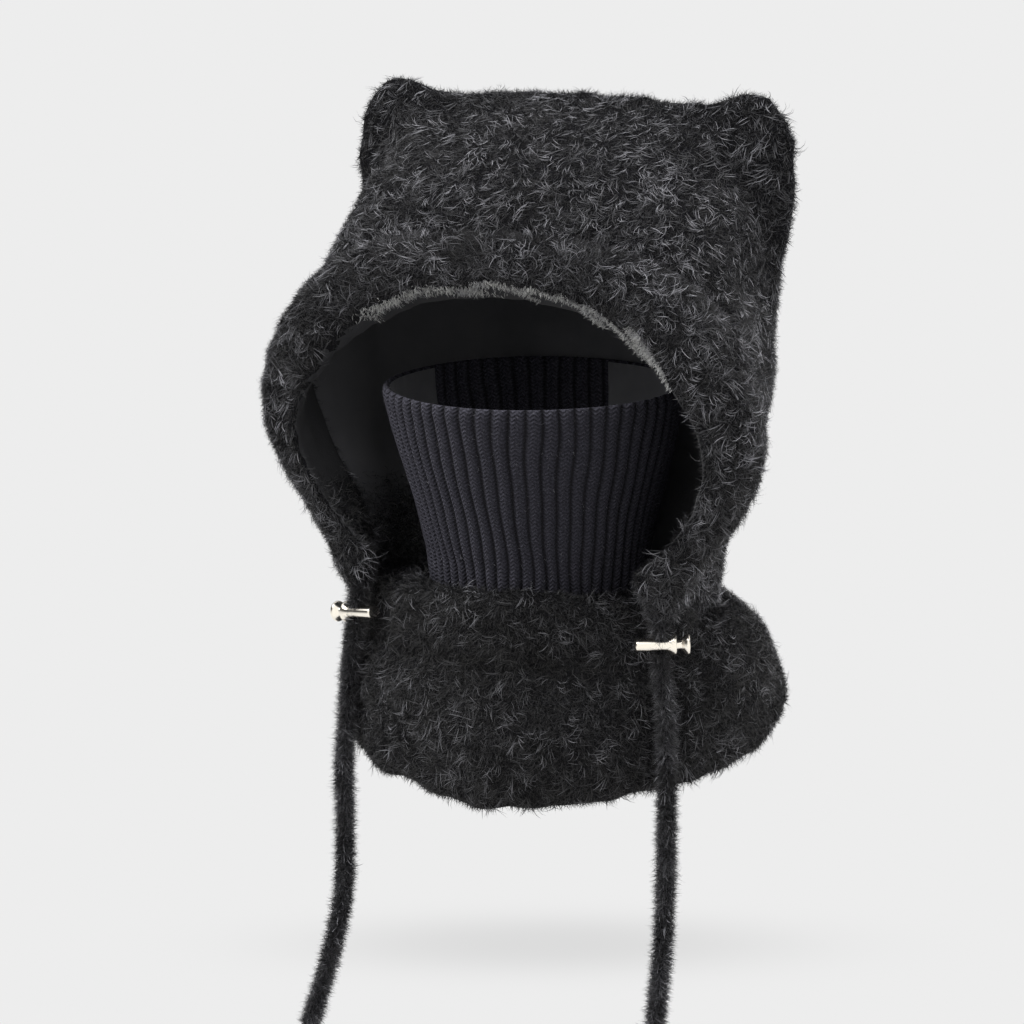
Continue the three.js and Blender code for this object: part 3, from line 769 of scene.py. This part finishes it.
def puff_ears(hood):
    """Fills the crown's two corners out into soft round ears."""
    place, _ = vertex_arrays(hood)
    across = np.abs(place[:, 0])
    high = ramp(place[:, 2], -0.045, -0.008)
    corner = np.exp(-(((across - EAR_CENTRE) / EAR_WIDTH) ** 2)) * high
    place[:, 2] += CROWN_LIFT * high + EAR_LIFT * corner
    outer = ramp(across, 0.1, 0.13) * ramp(place[:, 2], -0.09, -0.03)
    place[:, 0] += np.sign(place[:, 0]) * EAR_SPREAD * outer
    move_vertices(hood, place)


def clear_of_locks(points):
    """0 close to a cord lock, where the pile lies flat under the metal, and 1 elsewhere."""
    clear = np.ones(len(points))
    for word, side in SIDES:
        axis = np.array(LOCK_AXES[word])
        axis /= np.linalg.norm(axis)
        off = points - np.array(on_side(LOCK_SEAT_MM, side))
        along = np.clip(off @ axis, -LOCK_HALF_LENGTH, LOCK_HALF_LENGTH)
        clear *= ramp(np.linalg.norm(off - along[:, None] * axis, axis=1), 0.009, 0.013)
    return clear


def tuck(piece, level, stretch):
    """Lets a piece's lower edge down by stretching what lies below a level."""
    place, _ = vertex_arrays(piece)
    place[:, 2] -= np.maximum(level - place[:, 2], 0) * stretch
    move_vertices(piece, place)


def grow(name, base, coats, comb, material, seed, weight=None, painted_shade=None):
    """Grows a coat of one or more kinds of strand on a piece. coats pairs each kind with its number of
    strands."""
    rng = np.random.default_rng(seed)
    batches = []
    for k, (coat, count) in enumerate(coats):
        placed = scatter(base, count, rng, weight, coat.tuft)
        batches.append(strands(placed, coat, rng, comb, seed + 3 * k, painted_shade))
    return dress(fur_piece(name, batches), material)


# Operators


class SCARF_OT_stage(bpy.types.Operator):
    """Sets the camera, the pale floor and the soft studio light"""

    bl_idname = "scarf.stage"
    bl_label = "Stage"

    def execute(self, context):
        settings = stage()
        level = math.cos(VIEW_HEIGHT)
        back = Vector((
            math.sin(VIEW_AZIMUTH) * level,
            -math.cos(VIEW_AZIMUTH) * level,
            math.sin(VIEW_HEIGHT),
        ))
        lens = bpy.data.cameras.new("camera")
        lens.lens = VIEW_LENS_MM
        lens.sensor_width = SENSOR_MM
        lens.clip_start = 0.1
        lens.clip_end = 100.0
        camera = bpy.data.objects.new("camera", lens)
        camera.location = Vector(VIEW_TARGET_MM) * MM + back * VIEW_DISTANCE
        camera.rotation_mode = "QUATERNION"
        camera.rotation_quaternion = (-back).to_track_quat("-Z", "Y")
        context.scene.collection.objects.link(camera)
        context.scene.camera = camera
        context.scene.view_settings.view_transform = "Standard"
        context.scene.view_settings.look = "None"

        low = min(point[2] for point in CORD_LINE_MM) * MM - settings.floor_gap
        bpy.ops.object.select_all(action="DESELECT")
        bpy.ops.mesh.primitive_plane_add(size=60, location=(0, 0, low))
        floor = context.active_object
        floor.name = "floor"
        floor.data.materials.append(backdrop_paper(settings.backdrop, settings.shadow))
        for ray in ("diffuse", "glossy", "shadow", "transmission"):
            setattr(floor, f"visible_{ray}", False)

        sun = bpy.data.lights.new("key", "SUN")
        sun.energy = settings.key
        sun.angle = KEY_ANGLE
        key = bpy.data.objects.new("key", sun)
        key.rotation_mode = "QUATERNION"
        key.rotation_quaternion = Vector(KEY_WAY).to_track_quat("Z", "Y")
        context.scene.collection.objects.link(key)
        context.scene.world = studio_world(settings.sky, settings.backdrop)
        return {"FINISHED"}


def backdrop_paper(colour, painted_shadow_strength):
    """Seamless white studio paper, evenly lit, with the scarf's soft shadow painted into its colour. It
    shines by itself, so it stays even out to the horizon."""
    material, tree = new_tree("studio_paper_painted_shadow")
    place = add_node(tree, "TexCoord").outputs["Object"]
    back = Vector((-math.sin(VIEW_AZIMUTH), math.cos(VIEW_AZIMUTH), 0)) * PAINTED_SHADOW_BACK
    middle = back + Vector((*VIEW_TARGET_MM[:2], 0)) * MM + Vector(PAINTED_SHADOW_ASIDE)
    turned = add_node(
        tree, "Mapping", vector_type="TEXTURE",
        Vector=place, Location=middle, Rotation=(0, 0, VIEW_AZIMUTH), Scale=(*PAINTED_SHADOW_HALF_SIZE, 1),
    )
    reach = add_node(tree, "VectorMath", turned, operation="LENGTH")
    blur = add_node(tree, "Math", reach, PAINTED_SHADOW_SHARPNESS, operation="POWER")
    falling = add_node(tree, "Math", blur, -1.0, operation="MULTIPLY")
    share = add_node(tree, "Math", falling, operation="EXPONENT")
    kept = add_node(tree, "Math", share, -painted_shadow_strength, 1.0, operation="MULTIPLY_ADD")
    light = add_node(tree, "Emission", Strength=kept, Color=colour)
    add_node(tree, "OutputMaterial", light)
    return material


def studio_world(strength, backdrop):
    """Soft boxes above and on both sides, a weak fill, and the light that the white floor throws up."""
    world = bpy.data.worlds.new("studio")
    world.use_nodes = True
    tree = world.node_tree
    tree.nodes.clear()
    way = add_node(tree, "TexCoord").outputs["Generated"]

    def towards(direction):
        """How far a ray points in one direction, from 0 to 1."""
        target = Vector(direction).normalized()
        near = add_node(tree, "VectorMath", way, target, operation="DOT_PRODUCT")
        return add_node(tree, "Math", near, 0.0, operation="MAXIMUM")

    down = towards((0, 0, -1))
    total = add_node(tree, "Math", down, FLOOR_BOUNCE, FILL, operation="MULTIPLY_ADD")
    for direction, tight, bright in SOFT_BOXES:
        glow = add_node(tree, "Math", towards(direction), tight, operation="POWER")
        total = add_node(tree, "Math", glow, bright, total, operation="MULTIPLY_ADD")
    dimmed = add_node(tree, "Math", total, strength, operation="MULTIPLY")
    lit = add_node(tree, "Background", dimmed)

    height = add_node(tree, "SeparateXYZ", way).outputs["Z"]
    share = add_node(tree, "Math", height, 0.5, 0.5, operation="MULTIPLY_ADD")
    bands = add_node(tree, "ValToRGB", share)
    stops = bands.color_ramp.elements
    while len(stops) < len(MIRRORED_BANDS):
        stops.new(1.0)
    for stop, (position, grey) in zip(stops, MIRRORED_BANDS):
        stop.position = position
        stop.color = (*[grey * tint for tint in BAND_TINT], 1)
    at_wall = towards(WHITE_WALL_WAY)
    wall = add_node(tree, "MapRange", at_wall, *WHITE_WALL_EDGE, interpolation_type="SMOOTHSTEP")
    walls = add_node(tree, "Mix", data_type="RGBA", Factor=wall, A=bands, B=WHITE_WALL_LIGHT)
    mirrored = add_node(tree, "Background", walls)
    seen = add_node(tree, "Background", backdrop)
    path = add_node(tree, "LightPath")
    soft = add_node(tree, "MixShader", path.outputs["Is Glossy Ray"], lit, mirrored)
    shown = add_node(tree, "MixShader", path.outputs["Is Camera Ray"], soft, seen)
    add_node(tree, "OutputWorld", shown)
    return world


class SCARF_OT_drawstrings(bpy.types.Operator):
    """Makes the two fuzzy drawstrings"""

    bl_idname = "scarf.drawstrings"
    bl_label = "Drawstrings"

    def execute(self, context):
        yarn = knit_ground("chenille_core", knit().hood)
        pile = brushed_yarn_strands("chenille_pile", fur().dark, fur().light)
        seat = LOCK_SEAT_MM[2] * MM

        def off_the_lock(points, normals):
            """Leaves the cord bare where it runs through its lock and inside the casing."""
            return (np.abs(points[:, 2] - seat) > LOCK_GRIP) * (points[:, 2] < CASING_MOUTH)

        coats = ((CORD_PILE, fur().cord_short), (CORD_GUARD_HAIRS, fur().cord_long))
        for word, side in SIDES:
            rng = np.random.default_rng(50 + side)
            core = tube(f"drawstring_{word}_core", cord_line(side, 120), CORD_RADIUS, 12, rng)
            dress(core, yarn)
            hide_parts(f"drawstring_{word}")
            name = f"drawstring_{word}_pile"
            grow(name, core, coats, hanging, pile, 60 + side, off_the_lock)
        return {"FINISHED"}


def smooth_line(points, count):
    """Evenly spaced points on a smooth curve through the given ones."""
    rows = np.array([list(p) for p in points])
    reach = np.concatenate([[0], np.cumsum(np.linalg.norm(np.diff(rows, axis=0), axis=1))])
    slope = np.gradient(rows, reach, axis=0)
    at = np.linspace(0, reach[-1], count)
    k = np.clip(np.searchsorted(reach, at) - 1, 0, len(reach) - 2)
    h = (reach[k + 1] - reach[k])[:, None]
    s = ((at - reach[k])[:, None]) / h
    return (
        rows[k] * (2 * s**3 - 3 * s**2 + 1)
        + slope[k] * h * (s**3 - 2 * s**2 + s)
        + rows[k + 1] * (3 * s**2 - 2 * s**3)
        + slope[k + 1] * h * (s**3 - s**2)
    )


def tube(name, line, radius, sides, rng):
    """A closed tube with a slightly uneven wall along a line of points."""
    along = unit(np.gradient(line, axis=0))
    across = unit(flat_on(np.tile(np.array([0.0, -1.0, 0.0]), (len(line), 1)), along))
    third = np.cross(along, across)
    angle = np.arange(sides) / sides * 2 * math.pi
    swell = 1 + 0.06 * rng.uniform(-1, 1, len(line))
    cosine = np.cos(angle)[None, :, None]
    sine = np.sin(angle)[None, :, None]
    ring = cosine * across[:, None] + sine * third[:, None]
    wall = line[:, None] + ring * (radius * swell)[:, None, None]
    vertices = [*wall.reshape(-1, 3).tolist(), line[0].tolist(), line[-1].tolist()]
    faces = ring_faces(len(line), sides, closed=False)
    last_ring = (len(line) - 1) * sides
    for k in range(sides):
        n = (k + 1) % sides
        faces.append((len(vertices) - 2, n, k))
        faces.append((len(vertices) - 1, last_ring + k, last_ring + n))
    piece = new_piece(name, vertices, faces)
    outwards(piece)
    return piece


def outwards(piece):
    """Turns every face of a closed piece outwards."""
    work = bmesh.new()
    work.from_mesh(piece.data)
    bmesh.ops.recalc_face_normals(work, faces=work.faces)
    work.to_mesh(piece.data)
    work.free()


class SCARF_OT_cord_locks(bpy.types.Operator):
    bl_idname = "scarf.cord_locks"
    bl_label = "Cord Locks"

    def execute(self, context):
        plating = polished_plating("polished_nickel_plating", metal().plating, metal().roughness)
        for word, side in SIDES:
            axis = Vector(LOCK_AXES[word]).normalized()
            across = Vector((0, 0, 1)).cross(axis).normalized()
            up = axis.cross(across)
            place = Matrix((axis, across, up)).transposed().to_4x4()
            place.translation = Vector(on_side(LOCK_SEAT_MM, side)) - axis * LOCK_HOLE_MM * MM
            barrel = turned_metal(f"cord_lock_{word}_barrel", BARREL_MM, (0,), place)
            dress(barrel, plating)
            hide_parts(f"cord_lock_barrel_{word}")
            plunger = turned_metal(f"cord_lock_{word}_plunger", PLUNGER_MM, (0, 2, 4), place)
            dress(plunger, plating, f"plunger_{word}")
            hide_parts(f"cord_lock_plunger_{word}")
        return {"FINISHED"}


def turned_metal(name, sections_mm, hole_shifts_mm, place):
    """A closed piece of oval sections along its own x axis, with softened edges. The cord's hole is
    drilled across it at each shift, and several shifts make a slot."""
    bpy.ops.object.select_all(action="DESELECT")
    bpy.ops.mesh.primitive_circle_add(
        vertices=56, radius=1.0, fill_type="NGON", rotation=(0, math.radians(90), 0)
    )
    piece = bpy.context.active_object
    piece.name = piece.data.name = name
    bpy.ops.object.transform_apply(location=True, rotation=True, scale=True)
    bpy.ops.object.mode_set(mode="EDIT")
    bpy.ops.mesh.select_all(action="SELECT")
    x, across, rise = (value * MM for value in sections_mm[0])
    bpy.ops.transform.resize(value=(1, across, rise))
    bpy.ops.transform.translate(value=(x, 0, 0))
    for row in sections_mm[1:]:
        next_x, next_across, next_rise = (value * MM for value in row)
        bpy.ops.mesh.extrude_region_move(TRANSFORM_OT_translate={"value": (next_x - x, 0, 0)})
        bpy.ops.transform.resize(value=(1, next_across / across, next_rise / rise))
        x, across, rise = next_x, next_across, next_rise
    bpy.ops.object.mode_set(mode="OBJECT")
    outwards(piece)
    for shift in hole_shifts_mm:
        bpy.ops.object.select_all(action="DESELECT")
        bpy.ops.mesh.primitive_cylinder_add(
            vertices=40,
            radius=LOCK_HOLE_RADIUS_MM * MM,
            depth=DRILL_LENGTH,
            location=((LOCK_HOLE_MM + shift) * MM, 0, 0),
        )
        drill = bpy.context.active_object
        apply_modifier(piece, "BOOLEAN", operation="DIFFERENCE", object=drill, solver="EXACT")
        bpy.data.objects.remove(drill)
    apply_modifier(
        piece, "BEVEL", width=0.18 * MM, segments=2, limit_method="ANGLE", angle_limit=math.radians(38)
    )
    piece.data.transform(place)
    piece.data.update()
    activate(piece)
    bpy.ops.object.shade_smooth_by_angle(angle=math.radians(35))
    return piece


class SCARF_OT_hood(bpy.types.Operator):
    """Makes the hood's brushed knit and its pile"""

    bl_idname = "scarf.hood"
    bl_label = "Hood"

    def execute(self, context):
        ground = knit_ground("brushed_knit_hood_ground", knit().hood)
        pile = brushed_yarn_strands("brushed_acrylic_hood_pile", fur().dark, fur().light)
        hood = smooth_copy("hood_shell", "hood_knit", 1)
        snug(hood, bpy.data.objects["brim_knit"], near=0.003, far=0.007)
        tuck(hood, level=-0.27, stretch=1.1)
        puff_ears(hood)
        ruffle(hood, height=0.0007, scale=0.022, seed=12)
        dress(hood, ground)
        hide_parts("hood_shell")
        at_brim = nearness(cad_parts["brim_casing"], 0.008)

        def outside(points, normals):
            """Only the outside grows pile, and more beside the brim, where it fills the crease."""
            out = np.clip(np.sum(normals * unit(points - HOOD_MIDDLE), axis=1) * 4, 0, 1)
            return out * (1 + 2.0 * at_brim(points))

        coats = (
            ("hood_pile", SHORT_PILE, fur().hood_short, 13),
            ("hood_guard_hairs", GUARD_HAIRS, fur().hood_long, 14),
        )
        for name, coat, count, seed in coats:
            grow(name, hood, ((coat, count),), brushed_down, pile, seed, outside)
        return {"FINISHED"}


class SCARF_OT_brim(bpy.types.Operator):
    """Makes the brim's puffed casing and its pile"""

    bl_idname = "scarf.brim"
    bl_label = "Brim"

    def execute(self, context):
        pile = brushed_yarn_strands("brushed_acrylic_brim_pile", fur().dark, fur().light)
        brim = smooth_copy("brim_casing", "brim_knit", 2)
        tuck(brim, level=-0.262, stretch=0.5)
        place, normal = vertex_arrays(brim)
        swell = BRIM_SWELL * ramp(-facing_in(place, normal), 0.2, 0.8)
        move_vertices(brim, place + normal * swell[:, None])
        ruffle(brim, height=0.0006, scale=0.02, seed=22)
        dress(brim, knit_ground("brushed_knit_brim_ground", knit().hood))
        # The lining's fleece is painted lighter than it is, and the facing is a shaded copy of it at a
        # third.
        brim.data.materials.append(fleece_lining("smooth_brim_facing_painted_shade", shaded(knit().lining, 0.34)))
        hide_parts("brim_casing")
        place, normal = vertex_arrays(brim)
        faced = facing_in(place, normal) + 0.06 * wander(place, scale=0.012, seed=25) > 0.5
        corners = np.array([polygon.vertices[:3] for polygon in brim.data.polygons])
        brim.data.polygons.foreach_set("material_index", faced[corners].all(axis=1).astype(np.int32))
        at_hood = nearness(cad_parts["hood_shell"], 0.008)

        def outside(points, normals):
            """The facing that looks into the opening is bare, except low down."""
            bare = ramp(facing_in(points, normals), 0.25, 0.6) * ramp(points[:, 2], -0.245, -0.215)
            behind = ramp(normals[:, 1], 0.35, 0.75) * (1 - at_hood(points))
            return (1 - bare) * (1 - behind) * (1 + 2.0 * at_hood(points))

        def shaded_inside(points, normals):
            """Painted shade: the pile inside the opening is darker."""
            return 1 - 0.8 * ramp(facing_in(points, normals), 0.2, 0.7)

        coats = ((SHORT_PILE, fur().brim_short), (GUARD_HAIRS, fur().brim_long))
        grow("brim_pile", brim, coats, brushed_round, pile, 23, outside, shaded_inside)

        def top_edge(points, normals):
            """A thin line along the front of the opening's edge, over its top and down its left."""
            inward = facing_in(points, normals)
            angle = np.degrees(np.arctan2(points[:, 0], points[:, 2] - OPENING_CENTRE[2]))
            line = ramp(inward, 0.44, 0.52) * (1 - ramp(inward, 0.62, 0.74)) * (normals[:, 1] < 0)
            return line * ramp(angle, -56, -40) * (1 - ramp(angle, 66, 74)) + 1e-9

        edge = ((EDGE_FRINGE, fur().brim_edge),)
        # The fringe's fibres are pale, and painted nearly white as a highlight where little light
        # reaches.
        pale = brushed_yarn_strands("frayed_edge_fibres_painted_highlight", shaded(fur().light, 0.5), fur().edge)
        grow("brim_edge_fringe", brim, edge, towards_opening, pale, 26, top_edge)
        return {"FINISHED"}


class SCARF_OT_lining(bpy.types.Operator):
    """Makes the smooth fleece lining"""

    bl_idname = "scarf.lining"
    bl_label = "Lining"

    def execute(self, context):
        lining = smooth_copy("hood_lining", "fleece_lining", 2)
        snug(lining, bpy.data.objects["brim_knit"], near=0.006, far=0.011)
        tuck(lining, level=-0.262, stretch=1.0)
        # Painted light: the black fleece gets the lining's light grey in place of light inside the
        # hood.
        dress(lining, fleece_lining("black_fleece", knit().lining))
        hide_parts("hood_lining")

        def low_inside(points, normals):
            """The lower front of the inside is brushed like the brim."""
            inward = ramp(-np.sum(normals[:, :2] * unit(points[:, :2]), axis=1), 0.0, 0.4)
            low = 1 - ramp(points[:, 2], -0.262, -0.222)
            front = 1 - ramp(points[:, 1], 0.01, 0.05)
            return inward * low * front + 1e-9

        # Painted shade: the inner pile is a darker copy of the hood's fur colours.
        dark, light = shaded(fur().dark, 0.7), shaded(fur().light, 0.6)
        pile = brushed_yarn_strands("brushed_acrylic_inner_pile", dark, light)
        coats = ((INNER_PILE, fur().inner_short),)
        grow("lining_pile", lining, coats, hanging, pile, 36, low_inside)
        return {"FINISHED"}


class SCARF_OT_neck_tube(bpy.types.Operator):
    """Makes the rib-knit neck tube with its loose fibres"""

    bl_idname = "scarf.neck_tube"
    bl_label = "Neck Tube"

    def execute(self, context):
        settings = knit()
        rng = np.random.default_rng(31)
        per_rib = 10
        columns = settings.ribs * per_rib
        angle = np.arange(columns) / columns * 2 * math.pi
        phase = np.arange(columns) % per_rib / per_rib
        crest = (0.5 + 0.5 * np.cos(phase * 2 * math.pi)) ** 0.55 - 0.6
        fullness = np.repeat(rng.uniform(0.75, 1.2, settings.ribs), per_rib)
        rings = np.array(NECK_RINGS_MM) * MM
        wall = 2.9 * MM
        # The back's inside shows its ribs over a third of its width. Beside them the fleece covers it.
        ribbed_back = 1 - ramp(np.abs(angle - math.radians(123)), math.radians(37), math.radians(40))

        def ring(z, inset, sign, ribbed=1.0):
            """One level ring: the rib's crest is proud on the outside and sunk on the inside."""
            row = [np.interp(-z, -rings[:, 0], rings[:, k]) for k in (1, 2, 3)]
            swell = crest * fullness * settings.rib_depth * sign * ribbed
            slack = 0.0005 * np.sin(angle * 5 + z * 60)
            sway = 0.010 * np.sin(z * 55 + angle * 2) + 0.006 * np.sin(z * 130 + angle * 7)
            lift = np.where(z > -0.19, 2.5, 1.2) * MM * np.sin(angle)
            x = np.cos(angle + sway) * (row[1] + swell - inset + slack)
            y = row[0] + np.sin(angle + sway) * (row[2] + swell - inset + slack)
            return np.stack([x, y, z + lift], axis=1)

        top, bottom = rings[0, 0], rings[-1, 0]
        outside = [ring(z, 0, 1) for z in np.linspace(top - 1.6 * MM, bottom, 38)]
        inside = [ring(z, wall, 0.9, ribbed_back) for z in np.linspace(bottom, top - 1.6 * MM, 16)]
        rim = [ring(top - drop * MM, wall * share, sign) for drop, share, sign in NECK_RIM]
        loops = np.array(outside + inside + rim)
        rows = len(loops)
        faces = ring_faces(rows, columns, closed=True)
        neck = new_piece("neck_tube_knit", loops.reshape(-1, 3).tolist(), faces)
        mesh = neck.data
        uv = mesh.uv_layers.new(name="knit")
        corner = np.empty(len(mesh.loops), np.int32)
        mesh.loops.foreach_get("vertex_index", corner)
        column = (corner % columns).reshape(-1, 4).astype(float)
        wraps = (column.max(1) - column.min(1))[:, None] > columns / 2
        column[wraps & (column < columns / 2)] += columns
        height = loops.reshape(-1, 3)[corner, 2]
        knit_map = np.stack([column.ravel() / per_rib + 0.5, -height], axis=1)
        uv.data.foreach_set("uv", knit_map.astype(np.float32).ravel())
        dress(neck, rib_knit("rib_knit_acrylic", settings.rib))
        # Painted light: the fleece inside the neck tube gets the lining's light grey.
        mesh.materials.append(fleece_lining("fleece_inside_neck", settings.lining))
        covered = np.zeros((rows, columns), np.int32)
        covered[len(outside) - 1 : len(outside) + len(inside) - 1] = ribbed_back < 0.5
        mesh.polygons.foreach_set("material_index", covered.ravel())
        outwards(neck)
        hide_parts("neck_gaiter")

        def facing_out(points, normals):
            away = unit(points[:, :2] - np.array([0.0, -0.01]))
            return np.clip(np.sum(normals[:, :2] * away, axis=1) * 3, 0, 1)

        lint = brushed_yarn_strands("acrylic_lint", shaded(settings.rib, 0.7), fur().light)
        coats = ((LINT, fur().neck_lint),)
        grow("neck_tube_lint", neck, coats, hanging, lint, 33, facing_out)
        return {"FINISHED"}


class SCARF_OT_cape(bpy.types.Operator):
    """Makes the shoulder cape's brushed knit and its pile"""

    bl_idname = "scarf.cape"
    bl_label = "Cape"

    def execute(self, context):
        ground = knit_ground("brushed_knit_cape_ground", knit().cape)
        # Painted shade: the cape's pile is a darker copy of the hood's fur, lying low and out of the
        # top light.
        dark, light = shaded(fur().dark, 0.6), shaded(fur().light, 0.62)
        pile = brushed_yarn_strands("brushed_acrylic_cape_pile", dark, light)
        cape = smooth_copy("shoulder_cape", "cape_knit", 2)
        snug(cape, bpy.data.objects["hood_knit"], near=0.006, far=0.014)
        snug(cape, bpy.data.objects["brim_knit"], near=0.008, far=0.018)
        tuck(cape, level=-0.355, stretch=0.12)
        ruffle(cape, height=0.0012, scale=0.035, seed=42)
        dress(cape, ground)
        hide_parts("shoulder_cape")

        def outside(points, normals):
            """The pile is on the outside, the top edge and the hem."""
            away = points[:, :2] - np.array([0.0, 0.012])
            side = np.sum(normals[:, :2] * unit(away), axis=1)
            hem = (normals[:, 2] < -0.5) * (points[:, 2] < -0.33)
            return np.clip(side * 4 + (normals[:, 2] > 0.3) + 1.5 * hem, 0, 1) * clear_of_locks(points)

        def fold_painted_shade(points, normals):
            """Painted shade: the pile darkens in the fold under the puffed roll, across the front."""
            front = ramp(-points[:, 1], 0.02, 0.06) * (1 - ramp(np.abs(points[:, 0]), 0.07, 0.1))
            return 1 - 0.85 * front * np.exp(-(((points[:, 2] - FOLD_HEIGHT) / FOLD_WIDTH) ** 2))

        coats = ((SHORT_PILE, fur().cape_short), (CAPE_GUARD_HAIRS, fur().cape_long))
        grow("cape_pile", cape, coats, brushed_down, pile, 43, outside, fold_painted_shade)
        return {"FINISHED"}


class SCARF_PT_panel(bpy.types.Panel):
    """Settings and buttons of the hooded scarf"""

    bl_idname = "SCARF_PT_panel"
    bl_label = "Hooded Scarf"
    bl_space_type = "VIEW_3D"
    bl_region_type = "UI"
    bl_category = "Scarf"

    def draw(self, context):
        for group in SETTINGS:
            box = self.layout.box()
            settings = getattr(context.scene, group)
            for prop in settings.bl_rna.properties:
                if prop.identifier not in ("rna_type", "name"):
                    box.prop(settings, prop.identifier)
        for operator in OPERATORS:
            self.layout.operator(operator.bl_idname)


SETTINGS = {
    "scarf_fur": FurSettings,
    "scarf_knit": KnitSettings,
    "scarf_metal": MetalSettings,
    "scarf_stage": StageSettings,
}
OPERATORS = (
    SCARF_OT_stage,
    SCARF_OT_drawstrings,
    SCARF_OT_cord_locks,
    SCARF_OT_brim,
    SCARF_OT_hood,
    SCARF_OT_lining,
    SCARF_OT_neck_tube,
    SCARF_OT_cape,
)
CLASSES = (*SETTINGS.values(), *OPERATORS, SCARF_PT_panel)


def register():
    for cls in CLASSES:
        bpy.utils.register_class(cls)
    for name, group in SETTINGS.items():
        setattr(bpy.types.Scene, name, PointerProperty(type=group))


def unregister():
    for name in SETTINGS:
        delattr(bpy.types.Scene, name)
    for cls in reversed(CLASSES):
        bpy.utils.unregister_class(cls)


def main():
    register()
    for operator in OPERATORS:
        group, name = operator.bl_idname.split(".")
        getattr(getattr(bpy.ops, group), name)()


if __name__ == "__main__":
    main()
